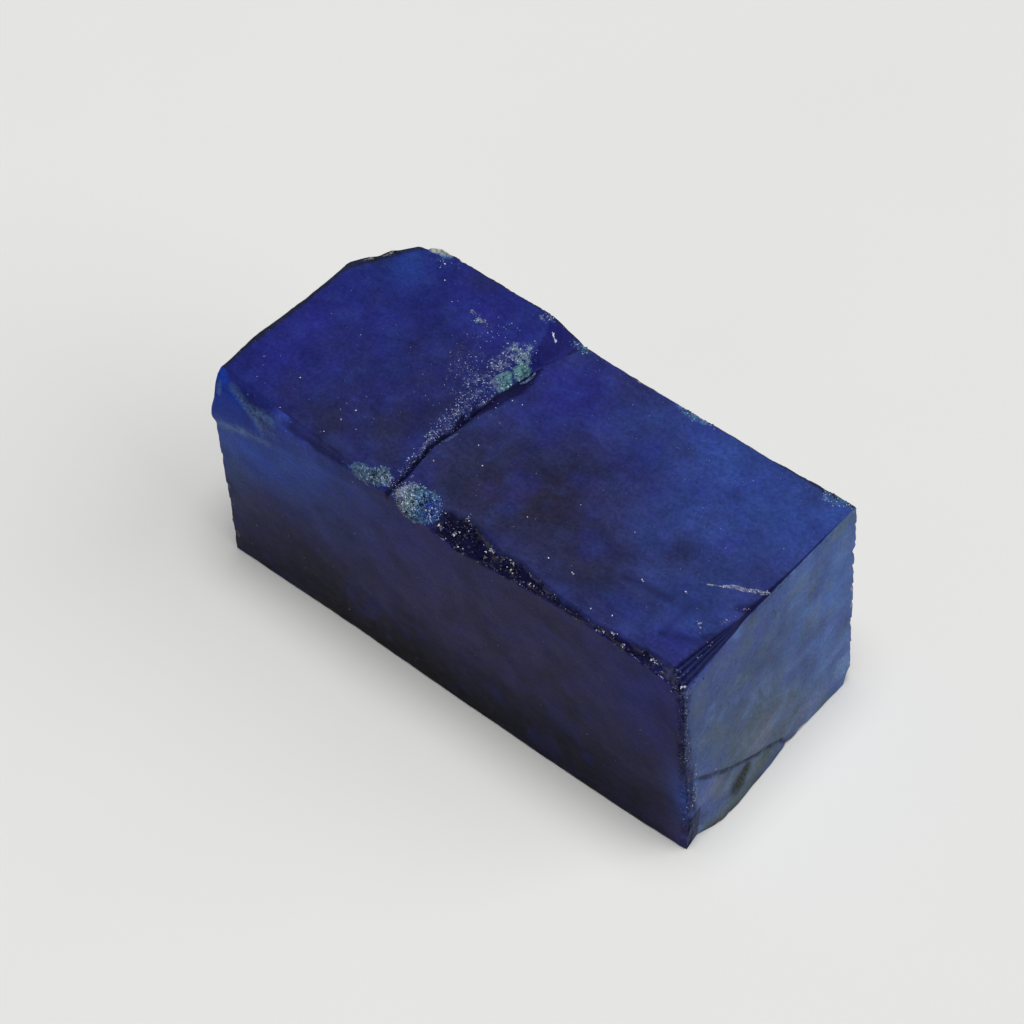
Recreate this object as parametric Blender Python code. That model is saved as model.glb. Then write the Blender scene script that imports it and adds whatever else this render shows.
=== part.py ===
"""Rough tanzanite: a sawn block of deep blue stone, one solid piece.

The block lies on its flat underside, +Z up, with its length along X. The origin is the middle of the
underside. Its top is in two sections: the left one slopes up to the back, and a step drops from it to the
right one. The front edge of the right section is chipped away in a band, the near corner falls in narrow
ledges, a crack crosses the right end over a lip that leans out, and lumpy sugary crust sits on the edges and
along the step.

Dimensions are in millimetres, from the front left corner of the underside: X to the right, Y to the back,
Z up.
"""

import math
import random

import bmesh
import bpy
from mathutils import Matrix, Vector

MM = 0.001

# The block.
LENGTH = 50.0
WIDTH = 21.6
LEFT_TOP_FRONT = 22.6
LEFT_TOP_BACK = 24.35
RIGHT_TOP = 22.9
CLEAR = 2.0

# The outline seen from above, anticlockwise: the left end leans, its back corner is cut off, and the right end
# is a little wider at the back.
LEFT_END = [(7.2, WIDTH), (6.1, 21.0), (5.05, 20.4), (2.85, 17.1), (2.0, 16.1), (1.35, 14.9), (1.25, 13.0),
            (0.85, 9.0), (0.15, 4.2), (0.0, 0.0)]
BACK_CORNER = WIDTH + 0.3
RIGHT_END = [(LENGTH, 0.0), (LENGTH, BACK_CORNER), (42.0, WIDTH)]

# The step across the top, as (y, foot x, brow x): its face leans left, and at the back it opens to a facet.
STEP = [(-CLEAR, 19.5, 19.35), (1.8, 19.5, 19.35), (5.3, 19.1, 18.95), (7.5, 19.4, 19.2), (9.5, 19.55, 19.3),
        (13.2, 19.9, 19.5), (15.4, 20.5, 20.0), (17.1, 20.8, 20.3), (19.6, 21.6, 19.85), (WIDTH, 22.3, 19.0),
        (WIDTH + CLEAR, 23.1, 17.9)]
STEP_RISE = 1.2

# A narrow saw kerf along the front of the step's foot: its width, and its depth at each y.
KERF_WIDTH = 0.6
KERF_DEPTHS = [(-CLEAR, 0.55), (1.8, 0.55), (5.3, 0.55), (7.5, 0.55), (9.5, 0.55), (13.2, 0.05)]
KERF_MOUTH = 0.1

# The left section's front face leans back above a slanting rim, and its front left corner is worn round.
FRONT_BEVEL = [(0.0, 0.0, 16.6), (19.7, 0.0, 21.9), (2.2, 0.4, 22.7)]
WORN_CORNER = [
    [(0.0, 0.2, 20.0), (0.0, 0.56, 21.3), (9.0, 0.1, 21.9)],
    [(0.0, 0.56, 21.3), (0.0, 0.95, 22.1), (12.0, 0.35, 22.3)],
    [(0.0, 0.95, 22.1), (0.0, 1.76, 22.68), (17.0, 0.3, 22.55)],
]

# That rim stands proud of the face below it at the left end, as (x, y of its crest, height of its crest).
RIM = [(-0.25, -0.25, 18.4), (1.0, -0.25, 18.6), (3.0, -0.15, 19.0), (7.0, 0.12, 19.9)]
RIM_BELOW = 1.1
RIM_ABOVE = 2.2

# How far the shapes that are joined on reach into the block, and how far inside its face their crests start.
ROOT = 0.5
SETBACK = 0.02

# The foot of the front stands proud towards the near corner, as (x, how far), up to this height.
FOOT = [(14.0, -0.02), (24.0, 0.2), (40.0, 0.35), (46.0, 0.3), (LENGTH - 0.05, 0.1)]
FOOT_HEIGHT = 6.0

# The chipped band along the right section's front edge, as (x, its lowest height, how far it reaches back). It
# is hollow: its middle lies at this share of its fall and reach, and its cutter runs past its two edges.
BAND = [(20.4, 22.6, 0.4), (22.0, 22.4, 0.8), (23.6, 22.0, 1.2), (24.7, 21.4, 1.6), (26.5, 21.0, 2.3),
        (28.9, 21.3, 1.7), (30.4, 21.5, 1.05), (32.8, 21.75, 1.4), (35.9, 22.1, 0.55), (38.0, 22.3, 0.4),
        (41.0, 22.4, 0.25), (43.9, 22.2, 0.6), (46.5, 21.9, 0.85), (48.4, 21.6, 0.7),
        (LENGTH + 1.0, 20.9, 0.6)]
HOLLOW = 0.66
OVERRUN = 0.4

# The back edge of the right section is worn down in the same way, only less.
BACK_WEAR = [(22.4, 22.85, 0.1), (25.0, 22.75, 0.25), (28.5, 22.65, 0.4), (31.5, 22.7, 0.3),
             (34.5, 22.65, 0.5), (37.0, 22.8, 0.2), (41.0, 22.75, 0.3), (43.0, 22.85, 0.1)]

# The near corner falls in narrow ledges, side by side and parallel to the right end.
LEDGES = 4
LEDGE_WIDTH = 0.38
LEDGE_FALL = 1.5
LEDGE_REACH = 8.0

# The crack in the right end runs down from the near edge to the floor.
CRACK = [(0.3, 8.85), (1.2, 8.4), (2.1, 7.7), (4.2, 6.1), (6.4, 4.45), (7.7, 3.7), (9.9, 2.65), (11.1, 2.2),
         (12.3, 1.5), (13.5, -0.4)]
CRACK_WIDTH = 0.28
CRACK_DEPTH = 0.22

# Below the crack the right end leans out to a lip at the floor, as (y, the crack's height, how far it leans).
LIP = [(0.05, 9.0, 0.3), (1.0, 8.5, 0.5), (6.0, 4.75, 0.6), (7.5, 3.8, 0.45), (10.0, 2.6, 0.3),
       (12.0, 1.7, 0.1), (13.0, 0.5, -0.02)]

# The foot of the near corner is notched: the two ends of the notch's inner line, and a point on each wall.
NOTCH_LINE = [(49.78, 1.56, 0.0), (50.22, 1.63, 4.4)]
NOTCH_WALLS = [(49.97, 0.26, 0.0), (50.42, 3.51, 0.0)]

# Edges with small chips: two ends, the number of chips, and the smallest and largest chip radius.
CHIPPED_EDGES = [
    ((7.5, WIDTH, 24.35), (19.0, WIDTH, 24.35), 13, 0.25, 0.5),
    ((22.5, WIDTH, RIGHT_TOP), (42.0, WIDTH, RIGHT_TOP), 18, 0.25, 0.5),
    ((42.0, WIDTH, RIGHT_TOP), (LENGTH, BACK_CORNER, RIGHT_TOP), 7, 0.25, 0.5),
    ((0.3, 5.0, 23.0), (1.4, 14.6, 23.8), 8, 0.2, 0.4),
    ((2.0, 16.0, 23.9), (5.9, WIDTH - 0.5, 24.3), 7, 0.2, 0.35),
    ((LENGTH, 6.0, 22.6), (LENGTH, WIDTH, RIGHT_TOP), 12, 0.2, 0.45),
    ((LENGTH, 0.0, 8.0), (LENGTH, 0.0, 21.0), 13, 0.35, 0.75),
    ((LENGTH, BACK_CORNER, 0.6), (LENGTH, BACK_CORNER, 22.0), 13, 0.3, 0.65),
    ((0.0, 0.0, 0.6), (0.0, 0.0, 16.0), 9, 0.2, 0.5),
    ((7.2, WIDTH, 1.0), (7.2, WIDTH, 23.0), 8, 0.3, 0.6),
    ((1.5, 0.0, 0.0), (18.0, 0.0, 0.0), 6, 0.2, 0.4),
    ((19.0, -0.15, 0.0), (48.5, -0.35, 0.0), 10, 0.2, 0.4),
    ((LENGTH + 0.5, 1.0, 0.0), (LENGTH + 0.6, 7.0, 0.0), 5, 0.25, 0.4),
    ((LENGTH, 13.0, 0.0), (LENGTH, WIDTH, 0.0), 4, 0.3, 0.6),
    ((8.0, WIDTH, 0.0), (49.0, WIDTH + 0.2, 0.0), 14, 0.3, 0.6),
    ((0.3, 1.0, 0.0), (1.4, 14.0, 0.0), 6, 0.3, 0.6),
]

# Single larger chips: centre and radius.
LARGE_CHIPS = [
    ((LENGTH + 0.5, 15.0, -0.5), 1.2), ((LENGTH + 0.5, WIDTH + 0.8, 0.3), 1.9),
    ((7.8, WIDTH + 0.45, 24.9), 1.1), ((34.5, WIDTH + 0.5, 23.4), 0.9), ((11.0, -0.5, -0.4), 0.9),
    ((26.7, 0.2, 22.6), 1.0), ((31.9, 0.0, 22.7), 0.9),
]

# How far a chip's middle stands off its edge, in its own radii, and where it falls in its share of the edge.
CHIP_OFFSET = (0.35, 0.8)
CHIP_SHARE = (0.1, 0.9)

# How a lump varies: its width against its length, and its corners pushed in and out.
LUMP_WIDTH = (0.75, 1.1)
LUMP_CORNERS = (-0.22, 0.12)

# Crusts: a path over the top, the spread to each side of it, the number of grains, and their largest radius.
CRUSTS = [
    ([(15.6, 0.8), (19.4, 0.6)], 0.3, 22, 0.42),
    ([(20.6, 1.0), (23.3, 1.1)], 0.7, 40, 0.55),
    ([(19.3, 5.0), (18.8, 11.0), (18.5, 15.5), (19.0, 18.6)], 0.7, 40, 0.38),
    ([(18.9, 15.0), (19.5, 18.2)], 0.5, 22, 0.55),
    ([(14.0, 16.6), (14.4, 17.8)], 0.3, 7, 0.3),
    ([(5.6, 19.9), (7.0, 20.9)], 0.25, 9, 0.42),
    ([(33.0, 21.3), (35.4, 21.3)], 0.12, 9, 0.35),
    ([(48.6, 21.1), (49.6, 21.1)], 0.15, 5, 0.35),
]

# How a crust grain varies: its radius against the largest, how deep it sits in its own radii, and its height.
GRAIN_SIZE = (0.55, 1.0)
GRAIN_SINK = 0.25
GRAIN_FLAT = 0.65

SEED = 7

DEEP_BLUE = (0.018, 0.026, 0.155, 1.0)
ROUGHNESS = 0.35


def at(x, y, z):
    """The point x, y, z millimetres from the underside's front left corner, in metres from the origin."""
    return Vector((x - LENGTH / 2, y - WIDTH / 2, z)) * MM


def left_top(y):
    """The height of the left section's sloping top, y millimetres from the front."""
    return LEFT_TOP_FRONT + (LEFT_TOP_BACK - LEFT_TOP_FRONT) * y / WIDTH


def brow(y):
    """Where the step begins, y millimetres from the front."""
    for (y0, _, x0), (y1, _, x1) in zip(STEP, STEP[1:]):
        if y0 <= y <= y1:
            return x0 + (x1 - x0) * (y - y0) / (y1 - y0)
    return STEP[-1][2]


def top(x, y):
    """The height of the top at x, y, before it is chipped."""
    return left_top(y) if x < brow(y) else RIGHT_TOP


def along(path, share):
    """The point at a share of the length of a path."""
    points = [Vector(point) for point in path]
    left = share * sum((b - a).length for a, b in zip(points, points[1:]))
    for a, b in zip(points, points[1:]):
        span = (b - a).length
        if left <= span:
            return a.lerp(b, left / span)
        left -= span
    return points[-1]


def shave(bm, corners):
    """Cut a flat facet through three points, and take away what lies outside it."""
    a, b, c = (at(*corner) for corner in corners)
    outward = (b - a).cross(c - a).normalized()
    if outward.dot(at(LENGTH / 2, WIDTH / 2, RIGHT_TOP / 2) - a) > 0:
        outward.negate()
    everything = bm.verts[:] + bm.edges[:] + bm.faces[:]
    cut = bmesh.ops.bisect_plane(
        bm, geom=everything, dist=1e-8, plane_co=a, plane_no=outward, clear_outer=True)
    rim = [part for part in cut["geom_cut"] if isinstance(part, bmesh.types.BMEdge)]
    bmesh.ops.contextual_create(bm, geom=rim)


def add_skin(bm, rings):
    """Add the closed solid that runs through rings of points, each with the same number of them."""
    loops = [[bm.verts.new(at(*point)) for point in ring] for ring in rings]
    faces = [bm.faces.new(loops[0]), bm.faces.new(loops[-1])]
    for near, far in zip(loops, loops[1:]):
        for i in range(len(near)):
            j = (i + 1) % len(near)
            faces.append(bm.faces.new((near[i], near[j], far[j], far[i])))
    triangles = bmesh.ops.triangulate(bm, faces=faces)["faces"]
    bmesh.ops.recalc_face_normals(bm, faces=triangles)


def add_lump(bm, rng, centre, radius, flat=1.0):
    """Add an uneven, angular lump of stone."""
    angle = rng.uniform(0.0, math.tau)
    turn = Matrix.Rotation(angle, 4, Vector((rng.random(), rng.random(), 1.0)).normalized())
    size = Matrix.Diagonal((radius * MM, radius * MM * rng.uniform(*LUMP_WIDTH), radius * MM * flat, 1.0))
    place = Matrix.Translation(at(*centre)) @ turn @ size
    lump = bmesh.ops.create_icosphere(bm, subdivisions=1, radius=1.0, matrix=place)
    for vert in lump["verts"]:
        vert.co += (vert.co - place.translation) * rng.uniform(*LUMP_CORNERS)


def new_object(name, bm):
    """Put a finished mesh into the scene as an object."""
    mesh = bpy.data.meshes.new(name)
    bm.to_mesh(mesh)
    bm.free()
    thing = bpy.data.objects.new(name, mesh)
    bpy.context.collection.objects.link(thing)
    return thing


def combine(stone, name, bm, operation, overlapping):
    """Cut a tool shape out of the stone, or join it on. The shape's own pieces may overlap one another."""
    tool = new_object(name, bm)
    tool.hide_render = True
    tool.display_type = 'WIRE'
    tool.parent = stone
    boolean = stone.modifiers.new(name, 'BOOLEAN')
    boolean.operation = operation
    boolean.solver = 'EXACT'
    boolean.use_self = overlapping
    boolean.object = tool


def paint(stone):
    """Give the stone its deep blue, slightly glossy material."""
    material = bpy.data.materials.new("stone")
    material.use_nodes = True
    shader = material.node_tree.nodes["Principled BSDF"]
    shader.inputs["Base Color"].default_value = DEEP_BLUE
    shader.inputs["Roughness"].default_value = ROUGHNESS
    shader.inputs["Metallic"].default_value = 0.0
    stone.data.materials.append(material)


def blank():
    """The sawn block: its outline drawn up, its sloping top, and the flat facets that it was worn to."""
    bm = bmesh.new()
    ring = [bm.verts.new(at(x, y, 0.0)) for x, y in LEFT_END + RIGHT_END]
    floor = bm.faces.new(ring)
    walls = bmesh.ops.extrude_face_region(bm, geom=[floor])
    raised = [part for part in walls["geom"] if isinstance(part, bmesh.types.BMVert)]
    bmesh.ops.translate(bm, verts=raised, vec=Vector((0.0, 0.0, (LEFT_TOP_BACK + CLEAR) * MM)))
    bmesh.ops.recalc_face_normals(bm, faces=bm.faces)
    shave(bm, [(0.0, 0.0, LEFT_TOP_FRONT), (LENGTH, 0.0, LEFT_TOP_FRONT), (0.0, WIDTH, LEFT_TOP_BACK)])
    return bm


def step_cutter():
    """The space over the right section, whose left wall is the face of the step."""
    foot = [(x, y, RIGHT_TOP) for y, x, _ in STEP]
    head = [(2 * brow_x - x, y, RIGHT_TOP + 2 * STEP_RISE) for y, x, brow_x in STEP]
    beyond = LENGTH + CLEAR
    foot += [(beyond, WIDTH + CLEAR, RIGHT_TOP), (beyond, -CLEAR, RIGHT_TOP)]
    head += [(beyond, WIDTH + CLEAR, RIGHT_TOP + 2 * STEP_RISE), (beyond, -CLEAR, RIGHT_TOP + 2 * STEP_RISE)]
    bm = bmesh.new()
    add_skin(bm, [foot, head])
    return bm


def band_cutter(stations, edge, inward):
    """What is worn off a long top edge of the right section: a hollow chamfer of changing width."""
    rings = []
    for x, low, reach in stations:
        fall = RIGHT_TOP - low
        hollow = Vector((x, edge + inward * reach * HOLLOW, RIGHT_TOP - fall * HOLLOW))
        front = Vector((x, edge, low))
        back = Vector((x, edge + inward * reach, RIGHT_TOP))
        outside = (x, edge - inward * CLEAR, RIGHT_TOP + CLEAR)
        rings.append([front + (front - hollow) * OVERRUN, hollow, back + (back - hollow) * OVERRUN, outside])
    bm = bmesh.new()
    add_skin(bm, rings)
    return bm


def rim():
    """The rim under the leaning facet, a long tapered wedge that stands proud at the left end."""
    rings = []
    for x, crest_y, crest_z in RIM:
        rings.append([(x, ROOT, crest_z - RIM_BELOW), (x, crest_y, crest_z), (x, ROOT, crest_z + RIM_ABOVE)])
    bm = bmesh.new()
    add_skin(bm, rings)
    return bm


def foot():
    """The front's proud foot, a long tapered wedge along the floor."""
    rings = []
    for x, proud in FOOT:
        crest = (x, SETBACK, FOOT_HEIGHT)
        rings.append([(x, ROOT, 0.0), (x, -proud, 0.0), crest, (x, ROOT, FOOT_HEIGHT)])
    bm = bmesh.new()
    add_skin(bm, rings)
    return bm


def lip():
    """The lip that leans out from the right end between the crack and the floor."""
    rings = []
    for y, height, proud in LIP:
        inside = LENGTH - ROOT
        crest = (LENGTH - SETBACK, y, height)
        rings.append([(inside, y, 0.0), (LENGTH + proud, y, 0.0), crest, (inside, y, height)])
    bm = bmesh.new()
    add_skin(bm, rings)
    return bm


def ledge_cutter():
    """The falling ledges at the near corner: wedges side by side, each lower than the one before it."""
    bm = bmesh.new()
    beyond = LENGTH + CLEAR
    for ledge in range(LEDGES):
        edge = LENGTH - LEDGE_WIDTH * (LEDGES - ledge)
        slope = LEDGE_FALL * (ledge + 1) / LEDGES / LEDGE_REACH
        rings = []
        for y in (-CLEAR, LEDGE_REACH + CLEAR):
            tread = RIGHT_TOP - slope * (LEDGE_REACH - y)
            lid = RIGHT_TOP + CLEAR
            rings.append([(edge, y, tread), (beyond, y, tread), (beyond, y, lid), (edge, y, lid)])
        add_skin(bm, rings)
    return bm


def notch_cutter():
    """The notch in the foot of the near corner: all that lies outside both of its walls."""
    foot, head = (Vector(end) for end in NOTCH_LINE)
    left, right = (foot + (Vector(wall) - foot) * 2 for wall in NOTCH_WALLS)
    ring = [foot, left, foot + Vector((CLEAR, 0.0, 0.0)), right]
    bm = bmesh.new()
    add_skin(bm, [[corner + (head - foot) * share for corner in ring] for share in (-0.5, 2.0)])
    return bm


def kerf_cutter():
    """The saw kerf along the step's foot, a V that runs out to nothing at its back end."""
    foot_at = {y: x for y, x, _ in STEP}
    mouth = RIGHT_TOP + KERF_MOUTH
    rings = []
    for y, depth in KERF_DEPTHS:
        left = foot_at[y]
        bottom = (left + KERF_WIDTH / 2, y, RIGHT_TOP - depth)
        rings.append([(left, y, mouth), bottom, (left + KERF_WIDTH, y, mouth)])
    bm = bmesh.new()
    add_skin(bm, rings)
    return bm


def crack_cutter():
    """The open crack across the right end, a narrow V along its path."""
    rings = []
    for (y0, z0), (y1, z1) in zip(CRACK, CRACK[1:]):
        across = Vector((0.0, z0 - z1, y1 - y0)).normalized() * CRACK_WIDTH / 2
        for y, z in ((y0, z0), (y1, z1)):
            mouth = Vector((LENGTH + CRACK_DEPTH, y, z))
            rings.append([mouth + across * 2, mouth - across * 2, (LENGTH - CRACK_DEPTH, y, z)])
    bm = bmesh.new()
    add_skin(bm, rings)
    return bm


def outward_from(start, end):
    """The diagonal that points out of the block at an edge."""
    run = (end - start).normalized()
    away = (start + end) / 2 - Vector((LENGTH / 2, WIDTH / 2, RIGHT_TOP / 2))
    away -= run * away.dot(run)
    largest = max(abs(part) for part in away)
    return Vector([0.0 if abs(part) < largest / 3 else part / abs(part) for part in away]).normalized()


def chip_cutter(rng):
    """The small chips along the block's edges, and the few larger ones."""
    bm = bmesh.new()
    for start, end, count, smallest, largest in CHIPPED_EDGES:
        start, end = Vector(start), Vector(end)
        outward = outward_from(start, end)
        for i in range(count):
            radius = rng.uniform(smallest, largest)
            share = (i + rng.uniform(*CHIP_SHARE)) / count
            centre = start.lerp(end, share) + outward * radius * rng.uniform(*CHIP_OFFSET)
            add_lump(bm, rng, centre, radius)
    for centre, radius in LARGE_CHIPS:
        add_lump(bm, rng, centre, radius)
    return bm


def crust(rng):
    """The grains of the sugary crusts, set low in the top."""
    bm = bmesh.new()
    for path, spread, count, largest in CRUSTS:
        for i in range(count):
            x, y = along(path, (i + rng.random()) / count)
            x += rng.gauss(0.0, spread / 2)
            y += rng.gauss(0.0, spread / 2)
            radius = largest * rng.uniform(*GRAIN_SIZE)
            y = min(max(y, radius), WIDTH - radius)
            add_lump(bm, rng, (x, y, top(x, y) - GRAIN_SINK * radius), radius, flat=GRAIN_FLAT)
    return bm


def main():
    for thing in list(bpy.data.objects):
        bpy.data.objects.remove(thing, do_unlink=True)
    rng = random.Random(SEED)
    bm = blank()
    shave(bm, FRONT_BEVEL)
    for facet in WORN_CORNER:
        shave(bm, facet)
    stone = new_object("tanzanite_block", bm)
    combine(stone, "step", step_cutter(), 'DIFFERENCE', overlapping=False)
    combine(stone, "rim", rim(), 'UNION', overlapping=False)
    combine(stone, "foot", foot(), 'UNION', overlapping=False)
    combine(stone, "lip", lip(), 'UNION', overlapping=False)
    combine(stone, "chipped_band", band_cutter(BAND, 0.0, 1.0), 'DIFFERENCE', overlapping=False)
    combine(stone, "back_wear", band_cutter(BACK_WEAR, WIDTH, -1.0), 'DIFFERENCE', overlapping=False)
    combine(stone, "ledges", ledge_cutter(), 'DIFFERENCE', overlapping=True)
    combine(stone, "notch", notch_cutter(), 'DIFFERENCE', overlapping=False)
    combine(stone, "kerf", kerf_cutter(), 'DIFFERENCE', overlapping=False)
    combine(stone, "crack", crack_cutter(), 'DIFFERENCE', overlapping=True)
    combine(stone, "crust", crust(rng), 'UNION', overlapping=True)
    combine(stone, "chips", chip_cutter(rng), 'DIFFERENCE', overlapping=True)
    paint(stone)


main()
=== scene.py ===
"""Rough tanzanite block: its finished surface, sugary crusts, splinters and dust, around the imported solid.

All shapes are worked out in millimetres from the front left corner of the underside (X to the right, Y to
the back, Z up), and are turned into metres in the frame's own place when a mesh is made.
"""

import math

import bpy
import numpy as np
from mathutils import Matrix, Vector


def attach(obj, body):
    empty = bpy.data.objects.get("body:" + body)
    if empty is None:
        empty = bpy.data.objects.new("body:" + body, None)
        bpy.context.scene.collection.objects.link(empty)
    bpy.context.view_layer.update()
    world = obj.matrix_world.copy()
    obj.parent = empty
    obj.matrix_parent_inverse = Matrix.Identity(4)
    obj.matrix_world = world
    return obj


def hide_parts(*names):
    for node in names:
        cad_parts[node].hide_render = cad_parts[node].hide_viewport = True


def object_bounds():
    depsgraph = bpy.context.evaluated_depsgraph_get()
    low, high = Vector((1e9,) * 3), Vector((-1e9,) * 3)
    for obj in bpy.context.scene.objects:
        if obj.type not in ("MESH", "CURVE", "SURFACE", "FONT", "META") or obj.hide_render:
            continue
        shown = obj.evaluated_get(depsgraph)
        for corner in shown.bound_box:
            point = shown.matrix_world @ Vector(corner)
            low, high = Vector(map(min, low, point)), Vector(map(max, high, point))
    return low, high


bl_info = {
    "name": "Rough Tanzanite Block",
    "version": (1, 0, 0),
    "blender": (4, 5, 0),
    "location": "View3D > Sidebar > Tanzanite",
    "description": "Builds the finished surface, crusts and stage of a rough tanzanite block",
    "category": "Add Mesh",
}

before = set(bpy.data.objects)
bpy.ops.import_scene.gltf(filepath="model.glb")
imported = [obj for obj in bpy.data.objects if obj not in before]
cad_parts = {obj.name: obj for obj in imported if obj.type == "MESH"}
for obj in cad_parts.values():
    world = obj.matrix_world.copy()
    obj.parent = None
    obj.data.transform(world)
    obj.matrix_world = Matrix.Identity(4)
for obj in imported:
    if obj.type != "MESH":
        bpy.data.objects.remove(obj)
CAD_LOW, CAD_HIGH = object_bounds()

MM = 0.001
NODE = "tanzanite_block"
STONE = "finished_stone"

# The block.
LENGTH = 50.0
WIDTH = 21.6
RIGHT_TOP = 22.9
LEFT_TOP_FRONT = 22.6
LEFT_TOP_BACK = 24.35

# The left end seen from above, as (y, x).
LEFT_END = [(0.0, 0.0), (4.2, 0.15), (9.0, 0.85), (13.0, 1.25), (14.9, 1.35), (16.1, 2.0), (17.1, 2.85),
            (18.3, 3.45), (19.3, 4.25), (20.4, 5.05), (21.0, 6.1), (WIDTH, 7.2)]

# The right end is a little wider at the back: from this x on, up to this much.
FLARE_START = 42.0
FLARE = 0.3

# What stands proud of the box fades out over this depth.
BULGE_DEPTH = 3.0

# The foot of the front stands proud towards the near corner, as (x, how far), up to this height.
FOOT = [(14.0, 0.0), (24.0, 0.2), (40.0, 0.33), (46.0, 0.28), (LENGTH, 0.1)]
FOOT_HEIGHT = 6.0

# Below its crack the right end leans out to a lip at the floor, as (y, how far).
LIP = [(0.0, 0.3), (1.0, 0.5), (6.0, 0.58), (7.5, 0.45), (10.0, 0.3), (12.0, 0.1), (13.0, 0.0)]

# The notch in the near corner's foot: the two ends of its inner line, and a point on each wall.
NOTCH_LINE = [(49.78, 1.56, 0.0), (50.22, 1.63, 4.4)]
NOTCH_WALLS = [(49.97, 0.26, 0.0), (50.42, 3.51, 0.0)]

# The step across the top, as (y, foot x, brow x), and the saw kerf along its foot.
STEP = [(0.0, 19.5, 19.35), (1.8, 19.5, 19.35), (5.3, 19.1, 18.95), (7.5, 19.4, 19.2), (9.5, 19.55, 19.3),
        (13.2, 19.9, 19.5), (15.4, 20.5, 20.0), (17.1, 20.8, 20.3), (19.6, 21.6, 19.85),
        (WIDTH, 22.3, 19.0)]
KERF_WIDTH = 0.6
KERF_DEPTH = 0.55
KERF_END = 13.0

# The left section's leaning front facet and its worn corner, each a plane through three points.
FRONT_FACETS = [
    [(0.0, 0.0, 16.6), (19.7, 0.0, 21.9), (2.2, 0.4, 22.7)],
    [(0.0, 0.2, 20.0), (0.0, 0.56, 21.3), (9.0, 0.1, 21.9)],
    [(0.0, 0.56, 21.3), (0.0, 0.95, 22.1), (12.0, 0.35, 22.3)],
    [(0.0, 0.95, 22.1), (0.0, 1.76, 22.68), (17.0, 0.3, 22.55)],
]

# The rim under that facet, as (x, height of its crest, how far it stands proud).
RIM = [(0.0, 17.9, 0.25), (1.9, 18.3, 0.22), (4.0, 18.9, 0.15), (8.8, 19.9, 0.07), (15.8, 21.1, 0.04),
       (20.0, 22.0, 0.0)]

# The chipped band on the right section's front edge, as (x, its lowest height, how far it reaches back).
BAND = [(20.2, 22.7, 0.3), (22.0, 22.4, 0.8), (23.6, 22.0, 1.4), (24.7, 21.4, 1.7), (26.5, 21.0, 2.3),
        (28.9, 21.3, 1.7), (30.4, 21.5, 1.15), (32.8, 21.75, 1.4), (35.9, 22.1, 0.7), (38.0, 22.25, 0.55),
        (41.0, 22.35, 0.45), (43.9, 22.2, 0.7), (46.5, 21.9, 0.9), (48.4, 21.6, 0.75), (LENGTH, 20.95, 0.6)]

# Wear on the right section's back edge, in the same form.
BACK_WEAR = [(22.4, 22.85, 0.1), (25.0, 22.75, 0.25), (28.5, 22.65, 0.4), (31.5, 22.7, 0.3),
             (34.5, 22.65, 0.5), (37.0, 22.8, 0.2), (41.0, 22.75, 0.3), (43.0, 22.85, 0.1)]

# The near corner's falling ledges.
LEDGES = 4
LEDGE_WIDTH = 0.38
LEDGE_TIP = 0.1
LEDGE_FALL = 1.5
LEDGE_REACH = 8.0
LEDGE_RISER = 0.035

# How much of the chipped band's reach is splintered and dark.
BAND_SHARE = 0.92

# The crack across the right end, as (y, z), and how far its groove reaches to each side.
CRACK = [(0.0, 9.0), (1.2, 8.4), (2.1, 7.7), (4.2, 6.1), (6.4, 4.45), (7.7, 3.7), (9.9, 2.65), (11.1, 2.2),
         (12.3, 1.5), (13.3, 0.0)]
CRACK_REACH = 0.4

# The crest between the top and the leaning facet at the left corner, as (x, z).
CREST = [(-0.5, 22.9), (1.2, 22.3), (2.1, 22.0), (3.8, 21.4), (5.0, 20.9), (5.8, 19.9), (6.4, 18.9)]

# How far the dark shade beside the kerf reaches from the step's foot, as (y, x).
KERF_SHADE = [(0.0, 0.4), (7.4, 0.5), (10.5, 0.85), (12.1, 1.35), (14.2, 1.4), (15.5, 1.3),
              (17.5, 0.35), (WIDTH, 0.2)]

# Where the grid's lines stand: how many cells wide each run of columns is, the columns right of the kerf
# that keep their place, and the knots of the rows and heights, each followed by the number of cells up to
# the next.
COLUMN_CELLS = [9, 44, 16, 6, 3, 3, 26, 52, 38, 6] + [1, 5] * LEDGES
COLUMN_PLACES = [25.5, 38.0, 47.8]
ROW_KNOTS = [(0.0, 24), (2.6, 56), (WIDTH - 2.0, 10), (WIDTH - 0.8, 9), (WIDTH, 0)]
HEIGHT_KNOTS = [(0.0, 9), (1.0, 36), (9.5, 12), (15.0, 28), (21.5, 14), (RIGHT_TOP, 0)]

# The grid's sides, in the order of their quads.
SIDES = ("top", "front", "back", "right", "left")

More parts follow.
